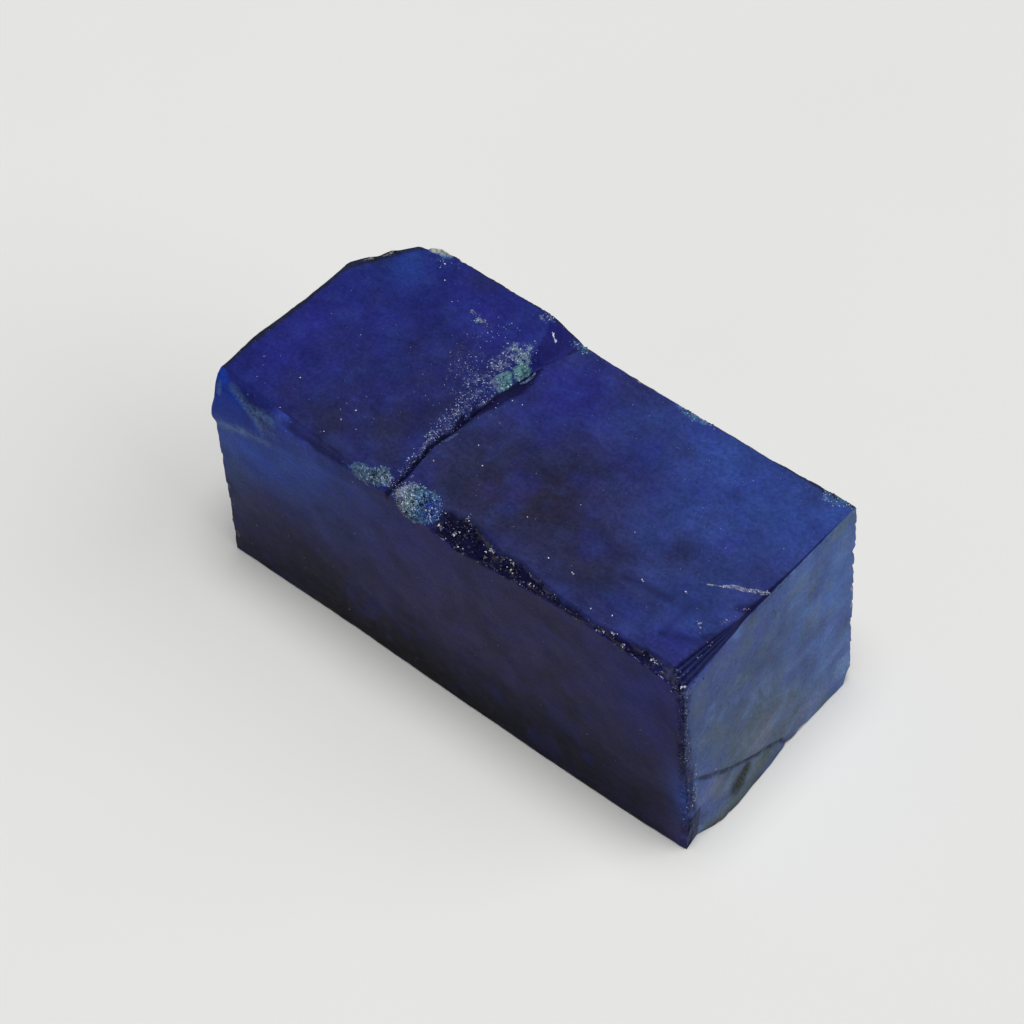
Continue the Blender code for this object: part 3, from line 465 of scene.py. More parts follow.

# Bright grains along short lines, some of them painted highlights: two ends, half width at each, how many,
# largest radius, brightness.
FLECK_AND_GLINT_LINES = [
    ((45.6, 8.5, 22.9), (49.8, 10.7, 22.9), 0.02, 0.2, 130, 0.07, 0.8),
    # A painted highlight: the glint on the step's steep facet.
    ((20.0, 20.3, 24.0), (20.7, 19.9, 23.6), 0.03, 0.08, 44, 0.08, 1.0),
    # Painted highlights: glints on the broken band's glossy lumps.
    ((29.7, 0.9, 22.4), (30.1, 0.9, 22.3), 0.15, 0.15, 16, 0.11, 1.0),
    ((31.8, 1.0, 22.4), (32.2, 0.9, 22.3), 0.15, 0.15, 14, 0.1, 1.0),
    ((26.0, 0.9, 21.6), (26.1, 0.9, 21.5), 0.05, 0.05, 5, 0.1, 0.9),
    ((46.5, 0.6, 22.3), (47.0, 0.5, 22.2), 0.12, 0.12, 16, 0.09, 0.8),
    ((41.3, 0.1, 22.2), (41.7, 0.2, 22.2), 0.1, 0.1, 12, 0.08, 0.6),
    ((42.5, 0.5, 22.6), (42.9, 0.5, 22.6), 0.08, 0.08, 8, 0.08, 0.7),
    ((48.4, 0.8, 22.5), (48.9, 0.8, 22.5), 0.12, 0.12, 8, 0.06, 0.5),
    ((26.2, 2.1, 22.7), (26.7, 2.1, 22.6), 0.15, 0.15, 14, 0.07, 0.7),
    ((33.7, 0.9, 22.5), (34.2, 0.9, 22.4), 0.12, 0.12, 14, 0.07, 0.5),
    ((24.8, 0.6, 21.7), (25.0, 0.5, 21.6), 0.08, 0.08, 8, 0.09, 0.7),
    ((44.6, 6.9, 22.9), (44.9, 6.8, 22.9), 0.04, 0.04, 6, 0.07, 0.7),
    ((41.2, 5.7, 22.9), (41.5, 5.6, 22.9), 0.04, 0.04, 5, 0.07, 0.6),
    ((48.9, 0.1, 21.3), (49.1, 0.1, 21.2), 0.08, 0.08, 6, 0.08, 0.7),
    ((20.95, 15.4, 22.9), (21.1, 16.6, 22.9), 0.02, 0.03, 20, 0.05, 0.45),
    ((13.1, 18.0, 24.0), (15.0, 17.6, 24.0), 0.1, 0.3, 40, 0.07, 0.4),
    ((6.3, 21.5, 24.3), (7.9, 21.4, 24.3), 0.2, 0.3, 16, 0.06, 0.5),
    ((17.4, 0.5, 22.4), (19.1, 1.1, 22.5), 0.2, 0.4, 60, 0.07, 0.9),
    ((20.5, 0.3, 22.6), (20.9, 1.6, 22.9), 0.2, 0.3, 44, 0.08, 0.6),
    ((21.5, 0.2, 22.4), (23.0, 1.6, 22.8), 0.3, 0.5, 44, 0.07, 0.9),
    ((23.6, 0.2, 22.3), (24.0, 1.7, 22.8), 0.1, 0.2, 26, 0.07, 0.8),
    ((16.0, 0.3, 22.4), (17.6, 0.1, 22.0), 0.03, 0.08, 26, 0.05, 0.45),
    ((19.35, 3.2, 22.9), (19.2, 6.6, 23.1), 0.2, 0.3, 34, 0.05, 0.6),
    ((19.2, 6.6, 23.1), (19.2, 11.0, 23.4), 0.3, 0.6, 50, 0.05, 0.6),
    ((18.6, 11.2, 23.5), (19.4, 13.6, 23.6), 0.6, 0.9, 50, 0.05, 0.5),
    ((14.2, 17.6, 24.0), (14.7, 17.7, 24.0), 0.15, 0.2, 20, 0.06, 0.5),
    ((13.2, 17.9, 24.0), (13.4, 18.0, 24.0), 0.12, 0.15, 7, 0.06, 0.5),
    ((15.1, 17.8, 24.0), (15.3, 17.4, 24.0), 0.15, 0.15, 7, 0.05, 0.5),
    ((15.0, 14.6, 23.8), (15.5, 13.8, 23.8), 0.25, 0.3, 14, 0.05, 0.45),
    ((16.3, 13.8, 23.7), (17.5, 13.4, 23.7), 0.25, 0.3, 18, 0.05, 0.45),
    ((16.9, 10.9, 23.5), (18.0, 10.6, 23.5), 0.25, 0.3, 18, 0.05, 0.45),
    ((11.3, 5.3, 23.0), (12.2, 6.6, 23.1), 0.2, 0.3, 12, 0.05, 0.35),
    ((2.1, 4.1, 22.9), (2.4, 4.7, 23.0), 0.02, 0.02, 5, 0.05, 0.5),
    ((20.3, 16.9, 23.9), (20.45, 16.2, 23.6), 0.04, 0.06, 12, 0.05, 0.5),
    ((18.2, 21.4, 24.3), (19.0, 21.2, 24.3), 0.1, 0.15, 16, 0.05, 0.5),
    ((50.3, 3.7, 7.0), (50.3, 3.9, 6.8), 0.08, 0.08, 5, 0.08, 0.7),
    ((50.3, 5.4, 5.2), (50.3, 6.1, 4.8), 0.06, 0.06, 9, 0.06, 0.6),
    ((50.1, 9.7, 3.4), (50.1, 9.9, 3.4), 0.05, 0.05, 4, 0.06, 0.6),
    ((50.1, 1.3, 10.6), (50.2, 0.9, 5.8), 0.15, 0.3, 52, 0.075, 0.6),
    ((50.1, 0.2, 20.2), (50.1, 0.3, 12.0), 0.15, 0.3, 50, 0.06, 0.5),
    ((49.3, 8.2, 22.9), (49.5, 8.6, 22.9), 0.15, 0.2, 14, 0.06, 0.5),
    ((49.2, 4.0, 22.9), (49.4, 4.4, 22.9), 0.12, 0.15, 9, 0.06, 0.5),
    ((49.1, 2.5, 22.8), (49.3, 2.9, 22.8), 0.12, 0.15, 8, 0.06, 0.5),
    ((47.0, 5.3, 22.9), (48.0, 4.8, 22.9), 0.15, 0.2, 10, 0.08, 0.6),
    ((48.7, 6.0, 22.9), (49.2, 7.2, 22.9), 0.2, 0.3, 14, 0.08, 0.5),
    ((46.3, 0.3, 22.1), (48.0, 0.3, 22.0), 0.1, 0.2, 6, 0.08, 0.5),
    ((19.05, 12.2, 23.4), (19.0, 7.5, 23.2), 0.12, 0.25, 44, 0.06, 0.6),
    ((19.05, 6.5, 23.1), (19.45, 2.0, 22.8), 0.15, 0.25, 24, 0.055, 0.5),
    ((19.3, 0.5, 22.6), (19.95, 1.3, 22.8), 0.2, 0.3, 24, 0.07, 0.6),
    ((20.3, 2.6, 22.8), (20.5, 1.9, 22.9), 0.05, 0.1, 8, 0.1, 0.6),
    ((20.3, 9.7, 22.9), (21.2, 11.4, 22.9), 0.1, 0.2, 10, 0.07, 0.4),
]

# Single bright specks: x, y, z and radius.
SPECKS = [
    (6.21, 4.54, 23.0, 0.08), (12.19, 4.74, 23.0, 0.1), (13.46, 3.31, 22.9, 0.08),
    (6.92, 1.31, 22.7, 0.06), (11.8, 3.34, 22.9, 0.06), (11.47, 1.63, 22.7, 0.06),
    (8.21, 20.44, 24.3, 0.08), (9.34, 19.13, 24.2, 0.07), (36.57, 2.88, 22.9, 0.08),
    (36.75, 2.8, 22.9, 0.06), (41.31, 5.69, 22.9, 0.08), (32.78, 8.48, 22.9, 0.06),
    (30.23, 4.93, 22.9, 0.06), (34.19, 2.83, 22.9, 0.07), (39.95, 1.05, 22.9, 0.06),
    (41.71, 1.54, 22.9, 0.06), (37.89, 8.98, 22.9, 0.05), (20.63, 4.66, 22.9, 0.08),
    (22.42, 8.11, 22.9, 0.06), (24.04, 6.68, 22.9, 0.06), (20.95, 11.96, 22.9, 0.07),
    (22.44, 13.52, 22.9, 0.06), (21.53, 13.35, 22.9, 0.06), (44.7, 6.87, 22.9, 0.06),
]

# Where the camera stands in metres, the way it looks and its lens in millimetres.
CAMERA_PLACE = (0.1310, -0.1389, 0.2525)
CAMERA_AZIMUTH = math.radians(43.76)
CAMERA_ELEVATION = math.radians(51.34)
CAMERA_ROLL = math.radians(4.35)
CAMERA_LENS = 130.7

# Half the floor's width in metres, and the light's colours.
FLOOR_HALF = 1.5
ROOM_COLOUR = (0.97, 0.985, 1.0)
SUN_COLOUR = (1.0, 1.0, 0.99)

# A turn that sets the angular noise's creases off from the block's sides.
FACET_TURN = np.array(Matrix.Rotation(0.9, 3, Vector((1.0, 2.0, 0.5)).normalized()))

# A grain before it is broken: six points and eight faces.
OCTAHEDRON = np.array([(1, 0, 0), (-1, 0, 0), (0, 1, 0), (0, -1, 0), (0, 0, 1), (0, 0, -1)], float)
OCTAHEDRON_FACES = np.array([(0, 2, 4), (2, 1, 4), (1, 3, 4), (3, 0, 4),
                             (2, 0, 5), (1, 2, 5), (3, 1, 5), (0, 3, 5)])


def stations(pairs):
    """The columns of a list of stations, as arrays."""
    return np.array(pairs, float).T


def smooth_step(t):
    """A soft ramp: 0 below 0, 1 above 1, and 3 t squared less 2 t cubed between."""
    t = np.clip(t, 0.0, 1.0)
    return t * t * (3.0 - 2.0 * t)


def fading(distance, reach):
    """1 at no distance, falling evenly to 0 at the reach."""
    return np.clip(1.0 - distance / reach, 0.0, 1.0)


def scramble(cells, seed):
    """A repeatable number from -1 to 1 for each whole-numbered cell: its indices times large primes,
    mixed."""
    i, j, k = (cells[..., axis].astype(np.int64) for axis in range(3))
    mixed = (i * 73856093) ^ (j * 19349663) ^ (k * 83492791) ^ (seed * 2654435761)
    mixed = ((mixed ^ (mixed >> 13)) * 1274126177) & 0xFFFFFFFF
    mixed = ((mixed ^ (mixed >> 15)) * 668265263) & 0xFFFFFFFF
    return (mixed & 0xFFFFFF) / float(0x7FFFFF) - 1.0


def noise(points, cell, seed):
    """Soft noise from -1 to 1: random values at the corners of cubic cells, blended smoothly between
    them."""
    place = points / cell
    corner = np.floor(place)
    share = smooth_step(place - corner)
    total = np.zeros(len(points))
    for step in np.ndindex(2, 2, 2):
        near = np.array(step, float)
        weight = np.prod(np.where(near > 0, share, 1.0 - share), axis=1)
        total += weight * scramble(corner + near, seed)
    return total


def fractal(points, cell, seed, octaves=3):
    """Layers of soft noise, each of half the size and half the strength of the one before."""
    total = np.zeros(len(points))
    strength = 1.0
    for octave in range(octaves):
        total += strength * noise(points, cell / 2 ** octave, seed + octave)
        strength /= 2.0
    return total / (2.0 - 2.0 ** (1 - octaves))


def facets(points, cell, seed):
    """Angular noise from -1 to 1: random values at the corners of cubic cells, joined by flat faces over
    the six tetrahedra of each cell, so that it makes flat facets with creases between them."""
    place = points @ FACET_TURN.T / cell
    corner = np.floor(place)
    share = place - corner
    order = np.argsort(-share, axis=1)
    ranked = np.take_along_axis(share, order, axis=1)
    weights = np.column_stack((1.0 - ranked[:, 0], ranked[:, 0] - ranked[:, 1], ranked[:, 1] - ranked[:, 2],
                               ranked[:, 2]))
    total = weights[:, 0] * scramble(corner, seed)
    for rank in range(3):
        corner = corner + np.eye(3)[order[:, rank]]
        total += weights[:, rank + 1] * scramble(corner, seed)
    return total


def spaced(knots):
    """Places along an axis: even steps between each knot and the next, as many as the knot says."""
    runs = [np.linspace(a, b, count, endpoint=False) for (a, count), (b, _) in zip(knots, knots[1:])]
    return np.concatenate(runs + [[knots[-1][0]]])


def left_end(y):
    """X of the left end's wall at depth y, joined by straight runs."""
    depth, x = stations(LEFT_END)
    return np.interp(y, depth, x)


def ragged(y, seed):
    """A small wander along Y, for edges that are broken and not sawn."""
    line = np.column_stack((y, np.zeros_like(y), np.zeros_like(y)))
    return fractal(line, 1.6, seed)


def foot(y):
    """X of the step's foot at depth y."""
    depth, foot_x, _ = stations(STEP)
    return np.interp(y, depth, foot_x) + 0.06 * ragged(y, SEEDS["foot"])


def brow(y):
    """X of the step's brow at depth y."""
    depth, _, brow_x = stations(STEP)
    wander = 0.14 * ragged(y, SEEDS["brow"])
    return np.minimum(np.interp(y, depth, brow_x) + wander, foot(y) - 0.06)


def riser_place(ledge, y):
    """X of a ledge's riser at depth y: the ledges narrow evenly from the near corner to their far
    tips."""
    width = LEDGE_TIP + (LEDGE_WIDTH - LEDGE_TIP) * fading(y, LEDGE_REACH)
    return LENGTH - width * (LEDGES - ledge)


def column_places(y):
    """X of every column of the grid at each depth y: columns stand on the brow and foot of the step, on
    the kerf's floor and on both sides of each ledge's riser, and are spread evenly between."""
    start = left_end(y)
    knots = [start, start + 1.1, brow(y) - 3.0, brow(y), foot(y), foot(y) + KERF_WIDTH / 2,
             foot(y) + KERF_WIDTH]
    knots += [np.full_like(y, place) for place in COLUMN_PLACES]
    for ledge in range(LEDGES):
        riser = riser_place(ledge, y)
        knots += [riser - LEDGE_RISER, riser + LEDGE_RISER]
    knots.append(np.full_like(y, LENGTH))
    runs = []
    for near, far, count in zip(knots, knots[1:], COLUMN_CELLS):
        share = np.arange(count) / count
        runs.append(near[:, None] + (far - near)[:, None] * share)
    runs.append(knots[-1][:, None])
    return np.concatenate(runs, axis=1)


def worn_edge(x, inset, along_edge):
    """How far a worn top edge falls at x, inset from it: its own fall at the edge, less the further in,
    and hollow between."""
    place, low, reach = stations(along_edge)
    fall = RIGHT_TOP - np.interp(x, place, low)
    share = np.clip(inset / np.interp(x, place, reach), 0.0, 1.0)
    covered = (x >= place[0] - 0.2) & (share < 1.0)
    return np.where(covered, fall * (1.0 - share ** 1.35), 0.0)


def top_height(x, y):
    """Z of the top: a slope on the left, a flat on the right, a straight face between the step's brow and
    foot, less the kerf's V, the worn bands along the front and back edges, and the near corner's
    ledges."""
    slope = LEFT_TOP_FRONT + (LEFT_TOP_BACK - LEFT_TOP_FRONT) * y / WIDTH
    past = np.clip((x - brow(y)) / (foot(y) - brow(y)), 0.0, 1.0)
    z = slope + (RIGHT_TOP - slope) * past
    kerf = 1.0 - np.abs(x - foot(y) - KERF_WIDTH / 2) / (KERF_WIDTH / 2)
    z = z - KERF_DEPTH * np.clip(kerf, 0.0, 1.0) * smooth_step((KERF_END - y) / 3.0)
    z = z - worn_edge(x, y, BAND) - worn_edge(x, WIDTH - y, BACK_WEAR)
    for ledge in range(LEDGES):
        riser = riser_place(ledge, y)
        tread = LEDGE_FALL * (ledge + 1) / LEDGES * fading(y, LEDGE_REACH)
        z = np.where(x > riser, np.minimum(z, RIGHT_TOP - tread), z)
    return z


def facet_inset(x, z):
    """How far the front face stands back at x, z: the deepest of the planes that were worn into it."""
    inset = np.zeros_like(x)
    for corners in FRONT_FACETS:
        a, b, c = (np.array(corner) for corner in corners)
        normal = np.cross(b - a, c - a)
        inset = np.maximum(inset, a[1] - (normal[0] * (x - a[0]) + normal[2] * (z - a[2])) / normal[1])
    return inset


def rim_height(x, z):
    """How far the rim under the leaning facet stands proud: a crest that falls off quickly below, slowly
    above."""
    place, crest, proud = stations(RIM)
    above = z - np.interp(x, place, crest)
    shape = np.where(above < 0.0, smooth_step(1.0 + above / 1.1), smooth_step(1.0 - above / 2.6))
    return np.interp(x, place, proud) * shape


def lattice():
    """The block's surface as a closed grid: the sides of a box of cells, stretched to the block. Returns
    the points, the quads, where each side's quads start and end, and the underside, which is one flat
    face."""
    y = spaced(ROW_KNOTS)
    height = spaced(HEIGHT_KNOTS) / RIGHT_TOP
    x = column_places(y).T
    z = top_height(x.ravel(), np.tile(y, len(x))).reshape(x.shape)
    nx, ny, nz = len(x) - 1, len(y) - 1, len(height) - 1
    number = np.full((nx + 1, ny + 1, nz + 1), -1)
    skin = np.zeros(number.shape, bool)
    skin[[0, nx], :, :] = True
    skin[:, [0, ny], :] = True
    skin[:, :, nz] = True
    cell = np.argwhere(skin)
    number[tuple(cell.T)] = np.arange(len(cell))
    i, j, k = cell.T
    points = np.column_stack((x[i, j], y[j], height[k] * z[i, j]))

    def quads(sheet):
        corners = (sheet[:-1, :-1], sheet[1:, :-1], sheet[1:, 1:], sheet[:-1, 1:])
        return np.stack([corner.ravel() for corner in corners], axis=1)

    sides = [quads(number[:, :, nz]), quads(number[:, 0, :]), quads(number[:, ny, :])[:, ::-1],
             quads(number[nx, :, :]), quads(number[0, :, :])[:, ::-1]]
    rim = np.concatenate((number[:-1, 0, 0], number[nx, :-1, 0], number[:0:-1, ny, 0], number[0, :0:-1, 0]))
    ends = np.cumsum([len(side) for side in sides])
    ranges = list(zip(SIDES, ends - [len(side) for side in sides], ends))
    return points, np.concatenate(sides), ranges, rim[::-1]


def normals_of(points, quads):
    """The outward direction at each point: the sum of its faces' normals, each the cross of its
    diagonals."""
    a, b, c, d = (points[quads[:, corner]] for corner in range(4))
    face = np.cross(c - a, d - b)
    face /= np.maximum(np.linalg.norm(face, axis=1), 1e-12)[:, None]
    total = np.zeros_like(points)
    for corner in range(4):
        np.add.at(total, quads[:, corner], face)
    return total / np.maximum(np.linalg.norm(total, axis=1), 1e-12)[:, None]


def outward_from(start, end):
    """The diagonal that points out of the block at an edge."""
    run = (end - start) / np.linalg.norm(end - start)
    away = (start + end) / 2 - np.array((LENGTH / 2, WIDTH / 2, RIGHT_TOP / 2))
    away = away - run * (away @ run)
    away = np.where(np.abs(away) < np.abs(away).max() / 3, 0.0, np.sign(away))
    return away / np.linalg.norm(away)


def chip_list(rng):
    """Centres and radii of all the chips along the edges."""
    centres, radii = [], []
    for start, end, count, smallest, largest in CHIPPED_EDGES + SCALLOPED_EDGES:
        start, end = np.array(start), np.array(end)
        radius = smallest + (largest - smallest) * rng.random(count) ** 2
        share = (np.arange(count) + rng.uniform(0.0, 1.0, count)) / count
        offset = radius * rng.uniform(0.3, 0.85, count)
        centres.append(start + (end - start) * share[:, None] + outward_from(start, end) * offset[:, None])
        radii.append(radius)
    centres.append(np.array([centre for centre, _ in LARGE_CHIPS]))
    radii.append(np.array([radius for _, radius in LARGE_CHIPS]))
    return np.concatenate(centres), np.concatenate(radii)


def bite(points, centres, radii):
    """Break chips out of the surface: a point inside a chip's ball moves straight out from its centre to
    its faceted wall. Returns how fresh each point's break is."""
    fresh = np.zeros(len(points))
    for number, (centre, radius) in enumerate(zip(centres, radii)):
        near = np.flatnonzero(np.abs(points - centre).max(axis=1) < radius)
        away = points[near] - centre
        span = np.maximum(np.linalg.norm(away, axis=1), 1e-6)
        seed = SEEDS["chips"] + number % 7
        wall = radius * (0.86 + 0.14 * facets(points[near], 0.55 * radius, seed))
        inside = span < wall
        hit = near[inside]
        points[hit] = centre + away[inside] * (wall[inside] / span[inside])[:, None]
        fresh[hit] = np.maximum(fresh[hit], smooth_step(radius / 0.6))
    return fresh


def segment_distance(places, line):
    """The distance from each 2-D place to a line of straight runs: the least over the runs of the
    distance to the nearest point of that run."""
    line = np.array(line, float)
    best = np.full(len(places), np.inf)
    for a, b in zip(line, line[1:]):
        share = np.clip((places - a) @ (b - a) / ((b - a) @ (b - a)), 0.0, 1.0)
        best = np.minimum(best, np.linalg.norm(places - a - share[:, None] * (b - a), axis=1))
    return best


def patch(points, centre, size, turn=0.0):
    """How strongly a soft oval patch covers each point: the bell curve of its distance in units of size,
    in an oval turned about Z."""
    away = points - np.array(centre)
    cos, sin = math.cos(turn), math.sin(turn)
    along = (away[:, 0] * cos + away[:, 1] * sin) / size[0]
    across = (away[:, 1] * cos - away[:, 0] * sin) / size[1]
    rise = away[:, 2] / size[2]
    return np.exp(-(along ** 2 + across ** 2 + rise ** 2))


def crust_cover(points):
    """How densely the crusts cover each point, how sugary they are and how far they stand up there, and
    how strongly each tint colours them: soft ovals whose rims are made ragged by soft noise, only on the
    top and the upper front."""
    seed = SEEDS["crusts"]
    wander = np.column_stack([fractal(points, 1.3, seed + axis, 4) for axis in range(3)])
    ragged_points = points + 0.5 * wander
    upper = smooth_step((points[:, 2] - 21.0) / 0.6)
    cover, sugar, rise = np.zeros((3, len(points)))
    tints = []
    for centre, size, turn, dense, high, sugary, colour in CRUSTS:
        soft = patch(ragged_points, centre, size, turn) * upper
        here = smooth_step((soft - 0.15) / 0.5)
        cover = np.maximum(cover, dense * here)
        kept = np.where(here > 0.5, sugar * (1.0 - dense), sugar)
        sugar = np.maximum(kept, sugary * here)
        rise = np.maximum(rise, high * smooth_step((soft - 0.3) / 0.5))
        tints.append((here, colour))
    for centre, size, turn, strength, colour in CRUST_TINTS:
        tints.append((strength * patch(ragged_points, centre, size, turn), colour))
    sugar = sugar * (0.3 + smooth_step(fractal(points, 0.9, seed + 4) + 0.5))
    return cover, sugar, rise, tints


def band_cover(points):
    """How much each point belongs to the splintered band along the right section's front edge: where the
    band has fallen below the sawn top and near the kerf's two walls."""
    x, y, z = points.T
    place, low, reach = stations(BAND)
    depth = np.interp(x, place, reach)
    ragged_edge = 0.22 * fractal(points, 0.9, SEEDS["band"])
    band = smooth_step((depth * BAND_SHARE + ragged_edge - y) / 0.3) * smooth_step((x - 23.8) / 1.4)
    fall = np.interp(x, place, low)
    band *= smooth_step((z - fall + 0.25 + ragged_edge) / 0.3)
    corner = smooth_step((x - 48.3) / 0.5) * smooth_step((4.5 - y) / 3.0) * smooth_step((z - 20.4) / 0.5)
    return np.clip(band + 0.25 * corner, 0.0, 1.0)


def kerf_shade_cover(points):
    """How much each point belongs to the kerf and the step's foot behind it, painted dark as shade: the
    groove's own shade and the step's shadow beside it.
    """
    x, y, z = points.T
    depth, reach = stations(KERF_SHADE)
    past = x - foot(y)
    left = smooth_step((past + 0.3 * fractal(points, 0.7, SEEDS["kerf_edge"], 2)) / 0.2)
    right = np.interp(y, depth, reach) + 0.25 * fractal(points, 0.9, SEEDS["kerf_reach"]) - past
    shade = 1.0 - 0.12 * smooth_step((past - 0.4) / 0.5)
    return left * shade * smooth_step(0.5 + right / 0.35) * smooth_step((z - 21.4) / 0.5)


def near_edge_cover(points):
    """How much each point belongs to the granular strip down the near upright edge."""
    x, y, z = points.T
    away = np.hypot(LENGTH - x, y) + 0.32 * fractal(points, 0.8, SEEDS["near_edge"])
    return smooth_step((0.8 - away) / 0.25) * smooth_step((21.5 - z) / 1.0)


def swell(points):
    """How far the block's box stands out at each point: the foot of the front to the front, the lip under
    the crack to the right, and the right end's back to the back. Each fades out towards the block's
    middle."""
    x, y, z = points.T
    shift = np.zeros_like(points)
    place, proud = stations(FOOT)
    shift[:, 1] -= np.interp(x, place, proud) * fading(z, FOOT_HEIGHT) * fading(y, BULGE_DEPTH)
    depth, proud = stations(LIP)
    crack_y, crack_z = stations(CRACK)
    height = np.maximum(np.interp(y, crack_y, crack_z), 0.01)
    lean = fading(z, height) * smooth_step((x - LENGTH + BULGE_DEPTH) / BULGE_DEPTH)
    shift[:, 0] += np.interp(y, depth, proud) * lean
    shift[:, 1] += FLARE * np.clip((x - FLARE_START) / (LENGTH - FLARE_START), 0.0, 1.0) * y / WIDTH
    return shift


def notch_floor(points):
    """Where along x the notch's walls stand at each point's place, whichever of the two is further out.
    Each wall is the plane through the notch's inner line and its own point on the floor."""
    (foot_x, foot_y, _), (head_x, head_y, head_z) = NOTCH_LINE
    walls = []
    for x, y, _ in NOTCH_WALLS:
        slope = (x - foot_x) / (y - foot_y)
        climb = (head_x - foot_x - slope * (head_y - foot_y)) / head_z
        walls.append(foot_x + slope * (points[:, 1] - foot_y) + climb * points[:, 2])
    return np.maximum(*walls)


def notch_shade_cover(points):
    """1 on the notch's wall, which is painted dark as shade, in front of its inner line and below its head,
    and 0 elsewhere.
    """
    x, y, z = points.T
    (_, foot_y, _), (_, head_y, head_z) = NOTCH_LINE
    inner = foot_y + (head_y - foot_y) * z / head_z
    below = head_z + 0.5 - 0.25 * y - z + 0.2 * fractal(points, 0.7, SEEDS["notch"], 2)
    cover = smooth_step((inner - y) / 0.1 + 0.5) * smooth_step(below / 0.3 + 0.5)
    return cover * smooth_step((x - LENGTH + 0.4) / 0.1)


def wear_edges(points):
    """Break the block's sharp edges: a point that is closer to two walls together than the wear moves
    straight in from both by half of what is missing, so that the edge becomes a narrow facet. At the
    floor it only moves inwards. The wear wanders with soft and angular noise."""
    x, y, z = points.T
    wear = 0.16 + 0.1 * fractal(points, 2.2, SEEDS["wear"])
    wear += 0.09 * facets(points, 0.8, SEEDS["wear_facets"])
    top = (top_height(x, y) - z, np.array((0.0, 0.0, -1.0)))
    front = (y, np.array((0.0, 1.0, 0.0)))
    back = (WIDTH - y, np.array((0.0, -1.0, 0.0)))
    left = (x - left_end(y), np.array((1.0, 0.0, 0.0)))
    right = (LENGTH - x, np.array((-1.0, 0.0, 0.0)))
    shift = np.zeros_like(points)
    edges = [(top, wall) for wall in (front, back, left, right)]
    edges += [(one, other) for one in (front, back) for other in (left, right)]
    for one, other in edges:
        short = np.clip(wear - one[0] - other[0], 0.0, None) / 2
        shift += short[:, None] * (one[1] + other[1])
    for distance, inward in (front, back, left, right):
        short = np.clip(0.8 * wear - distance - z, 0.0, None)
        shift += short[:, None] * inward
    return shift


def relief(points, masks, tooth):
    """How far the surface's unevenness stands out at each point: the sum of its soft and angular noises,
    each as strong as its mask or, everywhere, as the tooth, less what its sunken places lie deeper."""
    kinds = {"soft": lambda cell, seed: fractal(points, cell, seed, 2),
             "angular": lambda cell, seed: facets(points, cell, seed)}
    push = np.zeros(len(points))
    for mask, kind, height, cell, seed in RELIEF:
        strength = tooth if mask is None else masks[mask]
        push += strength * height * kinds[kind](cell, seed)
    for mask, depth in SUNK.items():
        push -= depth * masks[mask]
    return push


def crack_cover(points):
    """How much each point of the right end belongs to the crack's groove, which fades out beside its
    line."""
    away = segment_distance(points[:, 1:], CRACK) + 0.05 * fractal(points, 0.8, SEEDS["crack"])
    return smooth_step(fading(away, CRACK_REACH))


def bulge(x, y, z):
    """How far the leaning facet sets a point back, how far its rim pushes it forwards, and how far the
    rim's left end pushes it to the left. All fade out towards the block's middle."""
    proud = rim_height(x, z) * fading(y, BULGE_DEPTH)
    back = facet_inset(x, z) * (1.0 - y / WIDTH)
    return np.column_stack((-proud * fading(x - left_end(y), BULGE_DEPTH), back - proud, np.zeros_like(x)))


def stone_surface(settings):
    """The finished block: the grid, leaned over at the left front facet, with its rim, worn edges, notch,
    chips, crack, crusts and fine tooth. Returns the points, quads, sides, underside, the masks that its
    finish reads and the crusts' tints."""
    points, quads, sides, underside = lattice()
    x, y, z = points.T
    floor = z < 1e-6
    masks = {"band": band_cover(points), "kerf": kerf_shade_cover(points), "near_edge": near_edge_cover(points),
             "right_end": (x > LENGTH - 1e-6).astype(float)}
    masks["bevel"] = smooth_step(facet_inset(x, z) / 0.25) * smooth_step((1.2 - y) / 0.5)
    points = points + wear_edges(points) + swell(points) + bulge(x, y, z)
    points[:, 0] = np.minimum(points[:, 0], notch_floor(points))
    masks["notch"] = notch_shade_cover(points)

    centres, radii = chip_list(np.random.default_rng(settings.seed))
    masks["fresh"] = bite(points, centres, radii * settings.chip_scale)
    masks["crack"] = crack_cover(points) * masks["right_end"]
    masks["crust"], masks["sugar"], rise, tints = crust_cover(points)
    cleared = 1.0 - 0.9 * masks["kerf"] * smooth_step((12.5 - y) / 0.8) * smooth_step((y - 2.0) / 0.8)
    masks["crust"] *= cleared
    masks["sugar"] *= cleared
    grain = 0.7 + 0.3 * fractal(points, 0.6, SEEDS["crust_grain"])
    grain += 0.25 * facets(points, 0.4, SEEDS["crust_facets"])
    push = relief(points, masks, settings.tooth) + settings.crust_rise * rise * grain
    points = points + normals_of(points, quads) * np.where(floor, 0.0, push)[:, None]
    points[:, 2] = np.where(floor, 0.0, points[:, 2])
    return np.clip(points, *block_box()), quads, sides, underside, masks, tints


def block_box():
    """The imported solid's box in millimetres from the front left corner of the underside."""
    shift = np.array((LENGTH / 2, WIDTH / 2, 0.0))
    return np.array(CAD_LOW) / MM + shift, np.array(CAD_HIGH) / MM + shift


def to_frame(points):
    """Millimetres from the front left corner, turned into metres in the frame's own place."""
    return (points - np.array((LENGTH / 2, WIDTH / 2, 0.0))) * MM


def from_frame(points):
    """The other way: the frame's metres into millimetres from the front left corner."""
    return points / MM + np.array((LENGTH / 2, WIDTH / 2, 0.0))


def linear(code):
    """A colour written as a hex code, in the linear values that shaders take."""
    shares = [int(code[place:place + 2], 16) / 255 for place in (1, 3, 5)]
    return tuple(share / 12.92 if share < 0.04045 else ((share + 0.055) / 1.055) ** 2.4 for share in shares)


def mixed(colours, share, colour):
    """Colours moved towards another by a share of the way."""
    return colours + np.clip(share, 0.0, 1.0)[:, None] * (np.asarray(colour) - colours)


